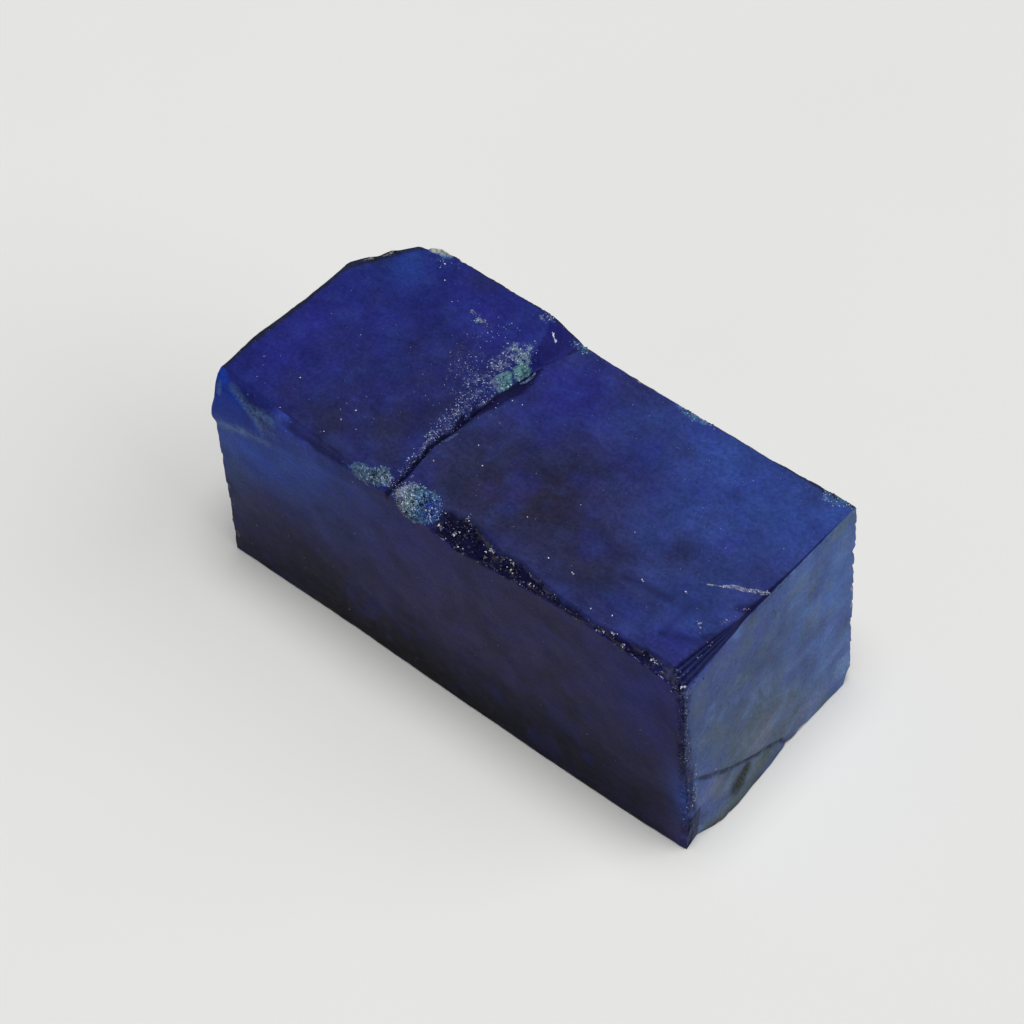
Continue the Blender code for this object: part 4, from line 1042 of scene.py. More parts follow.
def patched(points, base, patches, palette, mottles):
    """A side's colour: its base, moved in turn towards each soft patch's colour, on places warped by soft
    noise, and mottled with further colours where soft noise is high."""
    warp = np.column_stack([fractal(points, 4.5, SEEDS["patches"] + axis) for axis in range(3)])
    warped = points + 1.1 * warp
    colours = np.tile(palette[base], (len(points), 1))
    for name, centre, size, turn, strength in patches:
        colours = mixed(colours, strength * patch(warped, centre, size, turn), palette[name])
    for name, cell, seed, strength in mottles:
        high = smooth_step(1.6 * fractal(points, cell, seed, 2))
        colours = mixed(colours, strength * high, palette[name])
    return colours


def crust_colours(tints, palette):
    """The crusts' own colour at each point: each tint over the ones before it."""
    colours = np.tile(palette["teal_crust"], (len(tints[0][0]), 1))
    for strength, name in tints:
        colours = mixed(colours, strength, palette[name])
    return colours


def top_colours(points, palette):
    """The top's colour at each point: each section's own, with the step's steep facet darker at the
    back."""
    x, y, _ = points.T
    top = np.where((x > foot(y))[:, None],
                   patched(points, "dusk_blue", RIGHT_TOP_PATCHES, palette, TOP_MOTTLES),
                   patched(points, "deep_blue", LEFT_TOP_PATCHES, palette, TOP_MOTTLES))
    facet = (x > brow(y) + 0.03) & (x < foot(y) + 0.1)
    return mixed(top, 0.95 * facet * smooth_step((y - 15.5) / 2.0), palette["facet_violet"])


def front_colours(points, masks, palette, top):
    """The front's colour at each point. Its leaning facet is brighter, vivid at the left corner below the
    crest, and coloured like the top above the crest and along its upper edge."""
    x, _, z = points.T
    bevel = masks["bevel"]
    front = patched(points, "front_violet", FRONT_PATCHES, palette, FRONT_MOTTLES)
    front = mixed(front, 0.85 * bevel, palette["bevel_blue"])
    front = mixed(front, bevel * smooth_step((6.5 - x) / 1.5), palette["vivid_blue"])
    place, height = stations(CREST)
    above = smooth_step((z - np.interp(x, place, height)) / 0.4 + 0.5) * smooth_step((8.0 - x) / 2.0)
    front = mixed(front, above * bevel, palette["deep_blue"])
    ragged_height = z + 0.25 * fractal(points, 1.2, SEEDS["bevel"], 2)
    upper = smooth_step((ragged_height - 21.7) / 0.4) * smooth_step((x - 7.2) / 1.8)
    return mixed(front, upper * bevel, top)


def right_end_colours(points, palette):
    """The right end's colour at each point, with a strip up the foot of the near edge painted dark as shade.
    """
    _, y, z = points.T
    right = patched(points, "slate_blue", RIGHT_END_PATCHES, palette, RIGHT_END_MOTTLES)
    wander = 0.5 * fractal(points, 0.8, SEEDS["strip"], 2)
    strip = smooth_step((1.4 - y) / 0.5 + wander) * smooth_step((11.5 - z) / 1.5)
    # Painted shade up the foot of the near edge.
    return mixed(right, 0.95 * strip, palette["bruise_blue"])


def top_edge_colours(colours, points, palette):
    """The top's colours, with painted shade along its back and left edges and darker along its right edge,
    with the near corner's ledges drawn in: dark risers, and paler treads beside them."""
    x, y, _ = points.T
    back_edge = smooth_step((0.22 - (WIDTH - y)) / 0.12 + 0.5)
    left_edge = smooth_step((0.38 - (x - left_end(y))) / 0.25 + 0.5)
    # Painted shade along the back and left edges.
    colours = mixed(colours, 0.75 * np.maximum(back_edge, left_edge), palette["olive_black"])
    fade = smooth_step((LEDGE_REACH - y) / 1.5)
    colours = mixed(colours, 0.4 * fade * (x > riser_place(0, y)), palette["ink_violet"])
    for ledge in range(LEDGES):
        near = x - riser_place(ledge, y)
        riser = np.exp(-((near - 0.03) / 0.1) ** 2)
        colours = mixed(colours, 0.25 * fade * (near > 0.1) * (near < 0.4), palette["haze_blue"])
        colours = mixed(colours, 0.85 * fade * riser, palette["ink_violet"])
    reach = 0.18 + 0.24 * smooth_step((16.0 - y) / 7.0) + 0.08 * fractal(points, 1.0, SEEDS["dark_edge"])
    edge = smooth_step((reach - (LENGTH - x)) / 0.16 + 0.5) * smooth_step((y - 6.0) / 1.5)
    return mixed(colours, 0.85 * edge * smooth_step((21.5 - y) / 4.0), palette["ink_violet"])


def side_colours(points, quads, sides, masks, palette):
    """The stone's colour at each corner of each face, side by side, so that it changes sharply at the
    edges."""
    x, _, z = points.T
    top = top_colours(points, palette)
    hidden = patched(points, "deep_blue", HIDDEN_PATCHES, palette, TOP_MOTTLES)
    by_side = {"top": top, "front": front_colours(points, masks, palette, top), "back": hidden,
               "right": right_end_colours(points, palette), "left": hidden}
    band = 0.9 * masks["band"] * (1.0 - 0.6 * smooth_step((x - 45.0) / 3.5))
    near_edge = 0.45 * masks["near_edge"] * smooth_step((z - 8.0) / 2.0)
    crumbs = smooth_step(0.4 + 1.5 * fractal(points, 0.8, SEEDS["crumbs"], 2))
    crumbs *= smooth_step((z - 4.0) / 0.8)
    corners = []
    for name, start, end in sides:
        colours = by_side[name]
        if name in ("top", "front"):
            colours = mixed(colours, band, palette["ink_violet"])
            # Painted shade: the kerf's groove and the step's shadow beside it, in ink violet.
            colours = mixed(colours, 0.92 * masks["kerf"], palette["ink_violet"])
        if name == "top":
            colours = top_edge_colours(colours, points, palette)
        if name in ("front", "right"):
            colours = mixed(colours, near_edge, palette["ink_violet"])
        if name == "right":
            # The notch's wall is painted dark as shade, with paler crumbs over it.
            colours = mixed(colours, 0.95 * masks["notch"], palette["notch_blue"])
            colours = mixed(colours, 0.6 * masks["notch"] * crumbs, palette["slate_sky"])
        corners.append(colours[quads[start:end]].reshape(-1, 3))
    return np.concatenate(corners)


def new_mesh_object(name, points, faces, material, smooth):
    """A mesh object at the origin from points in the frame's metres and faces of one or more arrays."""
    old = bpy.data.objects.get(name)
    if old is not None:
        bpy.data.objects.remove(old)
    mesh = bpy.data.meshes.new(name)
    corners = np.concatenate([part.ravel() for part in faces])
    sizes = np.concatenate([np.full(len(part), part.shape[1]) for part in faces])
    mesh.vertices.add(len(points))
    mesh.vertices.foreach_set("co", points.astype(np.float32).ravel())
    mesh.loops.add(len(corners))
    mesh.loops.foreach_set("vertex_index", corners.astype(np.int32))
    mesh.polygons.add(len(sizes))
    mesh.polygons.foreach_set("loop_start", (np.cumsum(sizes) - sizes).astype(np.int32))
    mesh.polygons.foreach_set("loop_total", sizes.astype(np.int32))
    mesh.polygons.foreach_set("use_smooth", np.full(len(sizes), smooth))
    mesh.update(calc_edges=True)
    if mesh.validate():
        raise RuntimeError(f"{name} has faces that don't join up")
    mesh.materials.append(material)
    made = bpy.data.objects.new(name, mesh)
    bpy.context.scene.collection.objects.link(made)
    return made


def store(mesh, name, kind, domain, values):
    """Keep numbers on the mesh, where a material can read them by name."""
    attribute = mesh.attributes.new(name, kind, domain)
    slot = "color" if kind == "FLOAT_COLOR" else "value"
    attribute.data.foreach_set(slot, values.astype(np.float32).ravel())


def with_alpha(colours):
    """Colours with a full alpha beside them."""
    return np.column_stack((colours, np.ones(len(colours))))


def opaque(colour):
    """A colour with a full alpha."""
    return (*colour, 1.0)


class NodeBench:
    """Builds a material's nodes: each call adds one node, sets its inputs and returns an output."""

    def __init__(self, name):
        self.material = bpy.data.materials.get(name) or bpy.data.materials.new(name)
        self.material.use_nodes = True
        self.tree = self.material.node_tree
        self.tree.nodes.clear()
        self.count = 0

    def add(self, kind, inputs=None, output=0, **settings):
        made = self.tree.nodes.new(kind)
        made.location = (240 * (self.count // 4), -220 * (self.count % 4))
        self.count += 1
        for key, value in settings.items():
            setattr(made, key, value)
        for key, value in (inputs or {}).items():
            if isinstance(value, bpy.types.NodeSocket):
                self.tree.links.new(value, made.inputs[key])
            else:
                made.inputs[key].default_value = value
        return made.outputs[output] if made.outputs else None

    def object_place(self):
        return self.add("ShaderNodeTexCoord", output="Object")

    def mapped(self, place, turn=(0.0, 0.0, 0.0), scale=(1.0, 1.0, 1.0)):
        return self.add("ShaderNodeMapping", {"Vector": place, "Rotation": turn, "Scale": scale})

    def noise(self, place, cell, detail=3.0, rough=0.55, output="Fac"):
        inputs = {"Vector": place, "Scale": 1.0 / (cell * MM), "Detail": detail, "Roughness": rough}
        return self.add("ShaderNodeTexNoise", inputs, output)

    def specks(self, place, cell, output="Distance"):
        inputs = {"Vector": place, "Scale": 1.0 / (cell * MM), "Randomness": 1.0}
        return self.add("ShaderNodeTexVoronoi", inputs, output)

    def ramp(self, value, low, high, start=0.0, end=1.0):
        inputs = {"Value": value, "From Min": low, "From Max": high, "To Min": start, "To Max": end}
        return self.add("ShaderNodeMapRange", inputs, clamp=True)

    def math(self, operation, a, b=0.0):
        return self.add("ShaderNodeMath", {0: a, 1: b}, operation=operation)

    def times(self, first, *others):
        """Values multiplied together."""
        for other in others:
            first = self.math("MULTIPLY", first, other)
        return first

    def vector(self, operation, a, b, output=0):
        return self.add("ShaderNodeVectorMath", {0: a, 1: b}, output, operation=operation)

    def scaled(self, vector, scale):
        return self.add("ShaderNodeVectorMath", {0: vector, "Scale": scale}, operation="SCALE")

    def value(self, name):
        return self.add("ShaderNodeAttribute", output="Fac", attribute_name=name)

    def colour(self, name):
        return self.add("ShaderNodeAttribute", output="Color", attribute_name=name)

    def blend(self, share, a, b, how="MIX"):
        inputs = {0: share, 6: a, 7: b}
        return self.add("ShaderNodeMix", inputs, 2, data_type="RGBA", blend_type=how)

    def shaded(self, colour, shade):
        """A colour made darker or lighter by a value."""
        grey = self.add("ShaderNodeCombineColor", {"Red": shade, "Green": shade, "Blue": shade})
        return self.blend(1.0, colour, grey, "MULTIPLY")

    def line(self, place, corners):
        """The distance in metres from each place to a line of straight runs: for each run, the place less
        the nearest point of that run, its length, and the least of them all."""
        nearest = None
        for a, b in zip(corners, corners[1:]):
            start, run = Vector(a), Vector(b) - Vector(a)
            away = self.vector("SUBTRACT", place, start)
            along = self.vector("DOT_PRODUCT", away, run / run.length_squared, "Value")
            share = self.add("ShaderNodeClamp", {"Value": along})
            distance = self.vector("DISTANCE", away, self.scaled(run, share), "Value")
            nearest = distance if nearest is None else self.math("MINIMUM", nearest, distance)
        return nearest

    def finish(self, colour, roughness, bump, specular):
        """A Principled surface with these inputs, joined to the material's output."""
        inputs = {"Base Color": colour, "Roughness": roughness, "Specular IOR Level": specular, "IOR": 1.5}
        if bump is not None:
            inputs["Normal"] = bump
        shader = self.add("ShaderNodeBsdfPrincipled", inputs)
        self.add("ShaderNodeOutputMaterial", {"Surface": shader})
        return self.material


def row_line(corners):
    """Corners in millimetres from the front left corner, in the frame's metres."""
    return [tuple(to_frame(np.array(corner))) for corner in corners]


def mottled_stone(bench, place, streaked, settings):
    """The stone's own colour, made lighter and darker by wide mottles, long streaks and a fine tooth,
    with a wandering cast and pale scuffs in places."""
    mottle = bench.ramp(bench.noise(place, 3.2, 5.0, 0.6), 0.3, 0.7, 0.76, 1.26)
    streak = bench.ramp(bench.noise(streaked, 2.6, 3.0), 0.3, 0.7, 0.92, 1.09)
    tooth = bench.ramp(bench.noise(place, 0.3, 4.0, 0.7), 0.3, 0.7, 0.74, 1.28)
    colour = bench.shaded(bench.colour("stone_colour"), bench.times(mottle, streak, tooth))
    cast = bench.blend(0.28, opaque((1.0, 1.0, 1.0)), bench.noise(place, 1.7, 4.0, 0.65, "Color"))
    brighter = bench.blend(1.0, cast, opaque((1.16, 1.16, 1.16)), "MULTIPLY")
    colour = bench.blend(1.0, colour, brighter, "MULTIPLY")
    slanted = bench.mapped(place, (0.0, 0.0, -0.5), (1.0, 2.2, 2.2))
    scuffs = bench.ramp(bench.noise(slanted, 0.8, 6.0, 0.75), 0.64, 0.86, 0.0, 0.4)
    scuffed = bench.ramp(bench.noise(place, 7.0, 2.0), 0.45, 0.65)
    return bench.blend(bench.times(scuffs, scuffed), colour, opaque(settings.pale_blue))


def crusted(bench, place, colour):
    """The colour with the crusts over it: a web of crust where its cover and noise are high together,
    flecked light and dark, and sugary crystals in some of the small cells."""
    crust = bench.colour("crust_colour")
    cover = bench.value("crust")
    slanted = bench.mapped(place, (0.0, 0.0, -0.6), (1.0, 1.3, 1.3))
    high = bench.math("ADD", bench.noise(slanted, 0.5, 6.0, 0.75), bench.times(cover, 0.36))
    web = bench.times(bench.ramp(high, 0.61, 0.68), bench.times(bench.math("POWER", cover, 0.5), 0.9))
    flecks = bench.ramp(bench.noise(place, 0.28, 3.0, 0.7), 0.35, 0.65, 0.32, 1.7)
    colour = bench.blend(web, colour, bench.shaded(crust, flecks))
    cell = bench.add("ShaderNodeSeparateColor", {"Color": bench.specks(place, 0.1, "Color")})
    clumps = bench.ramp(bench.noise(place, 0.5, 4.0, 0.7), 0.44, 0.62, 0.08, 0.75)
    lucky = bench.math("LESS_THAN", cell, bench.times(bench.value("sugar"), clumps))
    sparkle = bench.ramp(bench.noise(place, 0.08, 1.0), 0.35, 0.65, 0.25, 2.2)
    sugar = bench.shaded(bench.blend(0.45, crust, opaque(SUGAR_SHADE)), sparkle)
    return bench.blend(lucky, colour, sugar)


def marked(bench, place, shaken, colour, settings):
    """The colour with the thin marks over it, along lines that wander and fray."""
    frayed = bench.ramp(bench.noise(place, 0.3, 5.0, 0.8), 0.34, 0.66)
    for tint, corners, inner, outer, strength in MARKS:
        mark = bench.ramp(bench.line(shaken, row_line(corners)), inner * MM, outer * MM, strength, 0.0)
        colour = bench.blend(bench.times(mark, frayed), colour, opaque(getattr(settings, tint)))
    return colour


def flawed_end(bench, place, shaken, colour, settings):
    """The colour with the right end's flaws over it: the crack's dark line, short upright dashes and fine
    dark flecks, which come and go with noise."""
    flat = bench.vector("MULTIPLY", shaken, (0.0, 1.0, 1.0))
    crack = bench.line(flat, row_line([(LENGTH / 2, y, z) for y, z in CRACK]))
    broken_up = bench.ramp(bench.noise(place, 0.6, 4.0, 0.7), 0.38, 0.55, 0.35)
    crack = bench.times(bench.ramp(crack, 0.1 * MM, 0.3 * MM, 0.9, 0.0), broken_up)
    upright = bench.mapped(shaken, (0.7, 0.0, 0.0), (1.0, 1.0, 0.5))
    dashes = bench.ramp(bench.specks(upright, 0.9), 0.05, 0.16, 0.7, 0.0)
    dashes = bench.times(dashes, bench.ramp(bench.noise(place, 1.3, 3.0), 0.5, 0.56))
    flecks = bench.ramp(bench.noise(place, 0.24, 3.0, 0.7), 0.56, 0.7, 0.0, 0.6)
    flecks = bench.times(flecks, bench.ramp(bench.noise(place, 2.4, 3.0), 0.42, 0.58))
    on_end = bench.value("right_end")
    for flaw in (crack, dashes, flecks):
        colour = bench.blend(bench.times(flaw, on_end), colour, opaque(settings.night_blue))
    return colour


def stone_finish(name, roughness, reflection, settings):
    """Stone: its colour by place, mottled and streaked by noise, with a speckled crust where that lies
    and thin drawn lines. Fresh breaks are smoother than the rest."""
    bench = NodeBench(name)
    place = bench.object_place()
    streaked = bench.mapped(place, (0.0, 0.0, 0.5), (1.0, 5.0, 5.0))
    colour = crusted(bench, place, mottled_stone(bench, place, streaked, settings))
    wander = bench.vector("SUBTRACT", bench.noise(place, 1.6, 3.0, 0.65, "Color"), (0.5, 0.5, 0.5))
    shaken = bench.vector("ADD", place, bench.scaled(wander, 0.8 * MM))
    colour = marked(bench, place, shaken, colour, settings)
    colour = flawed_end(bench, place, shaken, colour, settings)
    fresh = bench.math("MAXIMUM", bench.value("fresh"), bench.value("band"))
    dull = bench.ramp(bench.noise(place, 0.8, 3.0), 0.3, 0.7, roughness - 0.06, roughness + 0.06)
    sheen = bench.add("ShaderNodeMix", {0: fresh, 2: dull, 3: settings.fresh_roughness}, data_type="FLOAT")
    height = bench.math("ADD", bench.noise(place, 0.3, 4.0, 0.65), bench.noise(streaked, 0.5, 2.0))
    bump = bench.add("ShaderNodeBump", {"Strength": 0.35, "Distance": 0.06 * MM, "Height": height})
    return bench.finish(colour, sheen, bump, reflection)


def grain_finish(name, roughness, specular):
    """Small broken grains, each of its own colour, with a clean sparkle."""
    bench = NodeBench(name)
    shade = bench.ramp(bench.noise(bench.object_place(), 0.1, 2.0), 0.3, 0.7, 0.75, 1.25)
    return bench.finish(bench.shaded(bench.colour("grain_colour"), shade), roughness, None, specular)


def random_turns(rng, count):
    """Random turns as matrices, from random unit quaternions."""
    quaternions = rng.normal(size=(4, count))
    w, x, y, z = quaternions / np.linalg.norm(quaternions, axis=0)
    rows = ((1 - 2 * (y * y + z * z), 2 * (x * y - z * w), 2 * (x * z + y * w)),
            (2 * (x * y + z * w), 1 - 2 * (x * x + z * z), 2 * (y * z - x * w)),
            (2 * (x * z - y * w), 2 * (y * z + x * w), 1 - 2 * (x * x + y * y)))
    return np.array(rows).transpose(2, 0, 1)


def grains(rng, places, normals, radii, stretch=1.0, sink=0.25):
    """Angular grains: at each place an octahedron whose six points are pushed in and out and jittered,
    stretched along one axis, turned at random and sunk into the surface."""
    count = len(places)
    points = OCTAHEDRON * rng.uniform(0.6, 1.25, (count, 6, 1)) + rng.normal(0.0, 0.1, (count, 6, 3))
    points[:, :, 0] *= stretch
    points = np.einsum("nij,npj->npi", random_turns(rng, count), points) * radii[:, None, None]
    points += (places + normals * (radii * (0.5 - sink))[:, None])[:, None]
    faces = OCTAHEDRON_FACES + 6 * np.arange(count)[:, None, None]
    low, high = block_box()
    low = low + np.array((0.0, 0.0, 0.02))
    return np.clip(points.reshape(-1, 3), low, high), faces.reshape(-1, 3)


class StoneSkin:
    """The finished stone's quads, read back from its mesh: middles, normals, areas, colours and masks."""

    def __init__(self):
        stone = bpy.data.objects.get(STONE)
        if stone is None:
            raise RuntimeError("build the stone first")
        mesh = stone.data
        count = len(mesh.polygons) - 1
        points = np.empty(3 * len(mesh.vertices), np.float32)
        mesh.vertices.foreach_get("co", points)
        self.points = from_frame(points.reshape(-1, 3).astype(float))
        loops = np.empty(len(mesh.loops), np.int32)
        mesh.loops.foreach_get("vertex_index", loops)
        self.quads = loops[:4 * count].reshape(-1, 4)
        a, b, c, d = (self.points[self.quads[:, corner]] for corner in range(4))
        normal = np.cross(c - a, d - b)
        self.area = np.linalg.norm(normal, axis=1) / 2
        self.normal = normal / np.maximum(2 * self.area, 1e-12)[:, None]
        self.middle = (a + b + c + d) / 4
        self.mesh = mesh

    def colour(self, name):
        """A colour of the stone's, at the first corner of each quad."""
        colours = self.mesh.attributes[name]
        values = np.empty(4 * len(colours.data), np.float32)
        colours.data.foreach_get("color", values)
        values = values.reshape(-1, 4)[:, :3].astype(float)
        return values[self.quads[:, 0]] if colours.domain == "POINT" else values[:4 * len(self.quads):4]

    def mask(self, name):
        """A mask of the stone's, at the middle of each quad."""
        values = np.empty(len(self.points), np.float32)
        self.mesh.attributes[name].data.foreach_get("value", values)
        return values[self.quads].mean(axis=1)

    def scattered(self, rng, weight, count, colour="stone_colour"):
        """Random places on the quads, as likely on each as its area times the weight: two shares along
        its sides blend its four corners. Returns the places, their normals and colours, and the quads'
        numbers."""
        chance = self.area * weight
        pick = rng.choice(len(chance), count, p=chance / chance.sum())
        s, t = rng.random((2, count, 1))
        a, b, c, d = (self.points[self.quads[pick, corner]] for corner in range(4))
        places = (a * (1 - s) + b * s) * (1 - t) + (d * (1 - s) + c * s) * t
        return places, self.normal[pick], self.colour(colour)[pick], pick

    def laid(self, places):
        """Places moved along the nearest quad's normal into its plane. Returns them and their normals."""
        near = np.array([np.linalg.norm(self.middle - place, axis=1).argmin() for place in places])
        normal = self.normal[near]
        rise = ((places - self.middle[near]) * normal).sum(axis=1)
        return places - normal * rise[:, None], normal


def ride_on_block(piece):
    """Tie a finished piece to the block: it moves with it and replaces its plain solid, which is hidden."""
    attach(piece, "root")
    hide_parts(NODE)


def build_grains(name, rng, places, normals, radii, colours, material, stretch=1.0, sink=0.25):
    """A mesh of grains on the stone, each of its own colour, riding on the block."""
    points, faces = grains(rng, places, normals, radii, stretch, sink)
    made = new_mesh_object(name, to_frame(points), [faces], material, False)
    tint = np.repeat(with_alpha(np.clip(colours, 0.0, 1.0)), 6, axis=0)
    store(made.data, "grain_colour", "FLOAT_COLOR", "POINT", tint)
    ride_on_block(made)


class TanzaniteShape(bpy.types.PropertyGroup):
    """Sizes of the stone's small features."""

    __annotations__ = {
        "seed": bpy.props.IntProperty(
            name="Seed", description="Which set of random places the chips and grains take",
            default=11, min=0),
        "chip_scale": bpy.props.FloatProperty(
            name="Chip size", description="Size of the chips along the edges against their usual size",
            default=1.0, min=0.2, max=1.5, subtype="FACTOR"),
        "tooth": bpy.props.FloatProperty(
            name="Surface tooth", description="Depth of the sawn sides' unevenness against its usual depth",
            default=1.0, min=0.0, max=3.0, subtype="FACTOR"),
        "crust_rise": bpy.props.FloatProperty(
            name="Crust height", description="Height of the sugary crusts against their usual height",
            default=1.0, min=0.0, max=1.5, subtype="FACTOR"),
        "crust_grain": bpy.props.FloatProperty(
            name="Crust grain", description="Largest radius of a crust grain",
            default=0.00018, min=0.00005, max=0.0004, unit="LENGTH", precision=5),
        "splinter": bpy.props.FloatProperty(
            name="Splinter", description="Largest radius of a splinter in the broken band",
            default=0.0002, min=0.00005, max=0.0005, unit="LENGTH", precision=5),
        "dust": bpy.props.FloatProperty(
            name="Dust", description="Largest radius of a speck of dust",
            default=0.00006, min=0.00002, max=0.0002, unit="LENGTH", precision=5),
    }


class TanzaniteFinish(bpy.types.PropertyGroup):
    """Sheen and colours of the stone."""

    __annotations__ = {
        "sawn_roughness": bpy.props.FloatProperty(
            name="Sawn roughness", description="Roughness of the sawn sides",
            default=0.42, min=0.1, max=0.9, subtype="FACTOR"),
        "fresh_roughness": bpy.props.FloatProperty(
            name="Break roughness", description="Roughness of fresh breaks",
            default=0.14, min=0.02, max=0.6, subtype="FACTOR"),
        "sawn_reflection": bpy.props.FloatProperty(
            name="Sawn reflection", description="How strongly the sawn sides reflect",
            default=0.05, min=0.0, max=1.0, subtype="FACTOR"),
        "fresh_reflection": bpy.props.FloatProperty(
            name="Break reflection", description="How strongly fresh breaks reflect",
            default=0.3, min=0.0, max=1.0, subtype="FACTOR"),
        **{name: bpy.props.FloatVectorProperty(
            name=label, description=note, default=linear(code), min=0.0, max=1.0, subtype="COLOR")
           for name, (code, label, note) in PALETTE.items()},
    }


class TanzaniteStage(bpy.types.PropertyGroup):
    """Floor and light."""

    __annotations__ = {
        "floor_colour": bpy.props.FloatVectorProperty(
            name="Floor", description="Colour of the floor",
            default=(0.80, 0.80, 0.79), min=0.0, max=1.0, subtype="COLOR"),
        "room_light": bpy.props.FloatProperty(
            name="Room light", description="Strength of the light from all round",
            default=0.04, min=0.0, max=3.0),
        "window_light": bpy.props.FloatProperty(
            name="Window light", description="Strength of the wide soft light from the right",
            default=1.25, min=0.0, max=10.0),
        "overhead_light": bpy.props.FloatProperty(
            name="Overhead light", description="Strength of the soft light from above",
            default=2.23, min=0.0, max=10.0),
    }


def palette_of(finish):
    """The palette as set in the panel."""
    return {name: np.array(getattr(finish, name)) for name in PALETTE}


class BuildStone(bpy.types.Operator):
    """Build the block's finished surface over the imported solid"""

    bl_idname = "tanzanite.build_stone"
    bl_label = "Build stone"

    def execute(self, context):
        shape, finish = context.scene.tanzanite_shape, context.scene.tanzanite_finish
        palette = palette_of(finish)
        points, quads, sides, underside, masks, tints = stone_surface(shape)
        sawn = stone_finish("sawn tanzanite", finish.sawn_roughness, finish.sawn_reflection, finish)
        broken = stone_finish("broken tanzanite", BROKEN_ROUGHNESS, finish.fresh_reflection, finish)
        stone = new_mesh_object(STONE, to_frame(points), [quads, underside[None]], sawn, True)
        mesh = stone.data
        mesh.materials.append(broken)
        broken_share = np.maximum(masks["band"], masks["fresh"] * (1.0 - masks["near_edge"]))
        is_broken = broken_share[quads].mean(axis=1) > 0.5
        mesh.polygons.foreach_set("material_index", np.append(is_broken, False).astype(np.int32))
        below = np.tile(palette["night_blue"], (len(underside), 1))
        colours = np.concatenate((side_colours(points, quads, sides, masks, palette), below))
        store(mesh, "stone_colour", "FLOAT_COLOR", "CORNER", with_alpha(colours))
        store(mesh, "crust_colour", "FLOAT_COLOR", "POINT", with_alpha(crust_colours(tints, palette)))
        for name, values in masks.items():
            store(mesh, name, "FLOAT", "POINT", values)
        mesh.set_sharp_from_angle(angle=SHARP_FROM)
        ride_on_block(stone)
        return {"FINISHED"}


class BuildCrustGrains(bpy.types.Operator):
    """Scatter sugary grains over the crusts"""

    bl_idname = "tanzanite.build_crust_grains"
    bl_label = "Build crust grains"

    def execute(self, context):
        shape = context.scene.tanzanite_shape
        rng = np.random.default_rng(shape.seed + 1)
        skin = StoneSkin()
        sugar = skin.mask("sugar")
        places, normals, colours, kept = skin.scattered(rng, sugar ** 1.6, CRUST_GRAINS, "crust_colour")
        spread = 0.25 + 0.75 * rng.random(CRUST_GRAINS) ** 2
        radii = shape.crust_grain / MM * spread * (0.35 + 0.65 * sugar[kept])
        colours = colours * rng.uniform(0.3, 1.7, (CRUST_GRAINS, 1))
        white = rng.random(CRUST_GRAINS) < 0.26
        colours[white] = np.array(SUGAR_WHITE) * rng.uniform(0.3, 1.3, (white.sum(), 1))
        radii[white] *= 0.75
        # The dark grains are painted shade in the gaps between the crust's grains.
        dark = rng.random(CRUST_GRAINS) < 0.22
        colours[dark] = 0.12 * colours[dark] + np.array(GRAIN_SHADOW)
        material = grain_finish("sugary crust", 0.3, 0.3)
        build_grains("crust_grains", rng, places, normals, radii, colours, material)
        return {"FINISHED"}


class BuildSplinters(bpy.types.Operator):
    """Scatter glossy splinters along the broken band, the kerf and the near corner, the pale ones painted
    glints
    """

    bl_idname = "tanzanite.build_splinters"
    bl_label = "Build splinters"

    def execute(self, context):
        shape = context.scene.tanzanite_shape
        rng = np.random.default_rng(shape.seed + 2)
        skin = StoneSkin()
        clusters = smooth_step((fractal(skin.middle, 1.6, SEEDS["splinters"]) + 0.1) / 0.5)
        weight = skin.mask("band") ** 2 * (0.15 + clusters) + 0.2 * skin.mask("near_edge")
        places, normals, colours, _ = skin.scattered(rng, weight, SPLINTERS)
        radii = shape.splinter / MM * (0.3 + 0.7 * rng.random(SPLINTERS) ** 2)
        radii *= np.where(places[:, 2] < 20.5, 0.5, 1.0)
        colours = colours * rng.uniform(0.6, 1.8, (SPLINTERS, 1))
        # The pale splinters are painted glints of light on the broken band.
        pale = rng.random(SPLINTERS) < 0.11
        colours[pale] = np.array(SPLINTER_GLINT_WHITE) * rng.uniform(0.3, 1.6, (pale.sum(), 1))
        radii[pale] *= 0.4
        material = grain_finish("fresh splinters", 0.08, 0.6)
        build_grains("splinters", rng, places, normals, radii, colours, material, stretch=1.5, sink=0.45)
        return {"FINISHED"}


class BuildGlints(bpy.types.Operator):
    """Lay the white scratch, the bruises and the glints, which are painted highlights, along their lines"""

    bl_idname = "tanzanite.build_glints"
    bl_label = "Build glints"

    def execute(self, context):
        shape = context.scene.tanzanite_shape
        rng = np.random.default_rng(shape.seed + 4)
        places, radii, colours = [], [], []
        for start, end, narrow, wide, count, largest, bright in FLECK_AND_GLINT_LINES:
            share = rng.random((count, 1))
            spread = (narrow + (wide - narrow) * share) * rng.uniform(-1.0, 1.0, (count, 3))
            places.append(np.array(start) * (1.0 - share) + np.array(end) * share + spread)
            radii.append(largest * (0.35 + 0.65 * rng.random(count) ** 2))
            colours.append(bright * rng.uniform(0.4, 1.0, (count, 1)) * np.array(FLECK_AND_GLINT_WHITE))
        specks = np.array(SPECKS)
        places.append(specks[:, :3])
        radii.append(specks[:, 3])
        colours.append(np.tile(SPECK_WHITE, (len(specks), 1)))
        laid, normals = StoneSkin().laid(np.concatenate(places))
        radii, colours = np.concatenate(radii), np.concatenate(colours)
        material = grain_finish("clean flecks and painted glints", 0.2, 0.5)
        build_grains("glints", rng, laid, normals, radii, colours, material, stretch=1.6, sink=0.45)
        return {"FINISHED"}


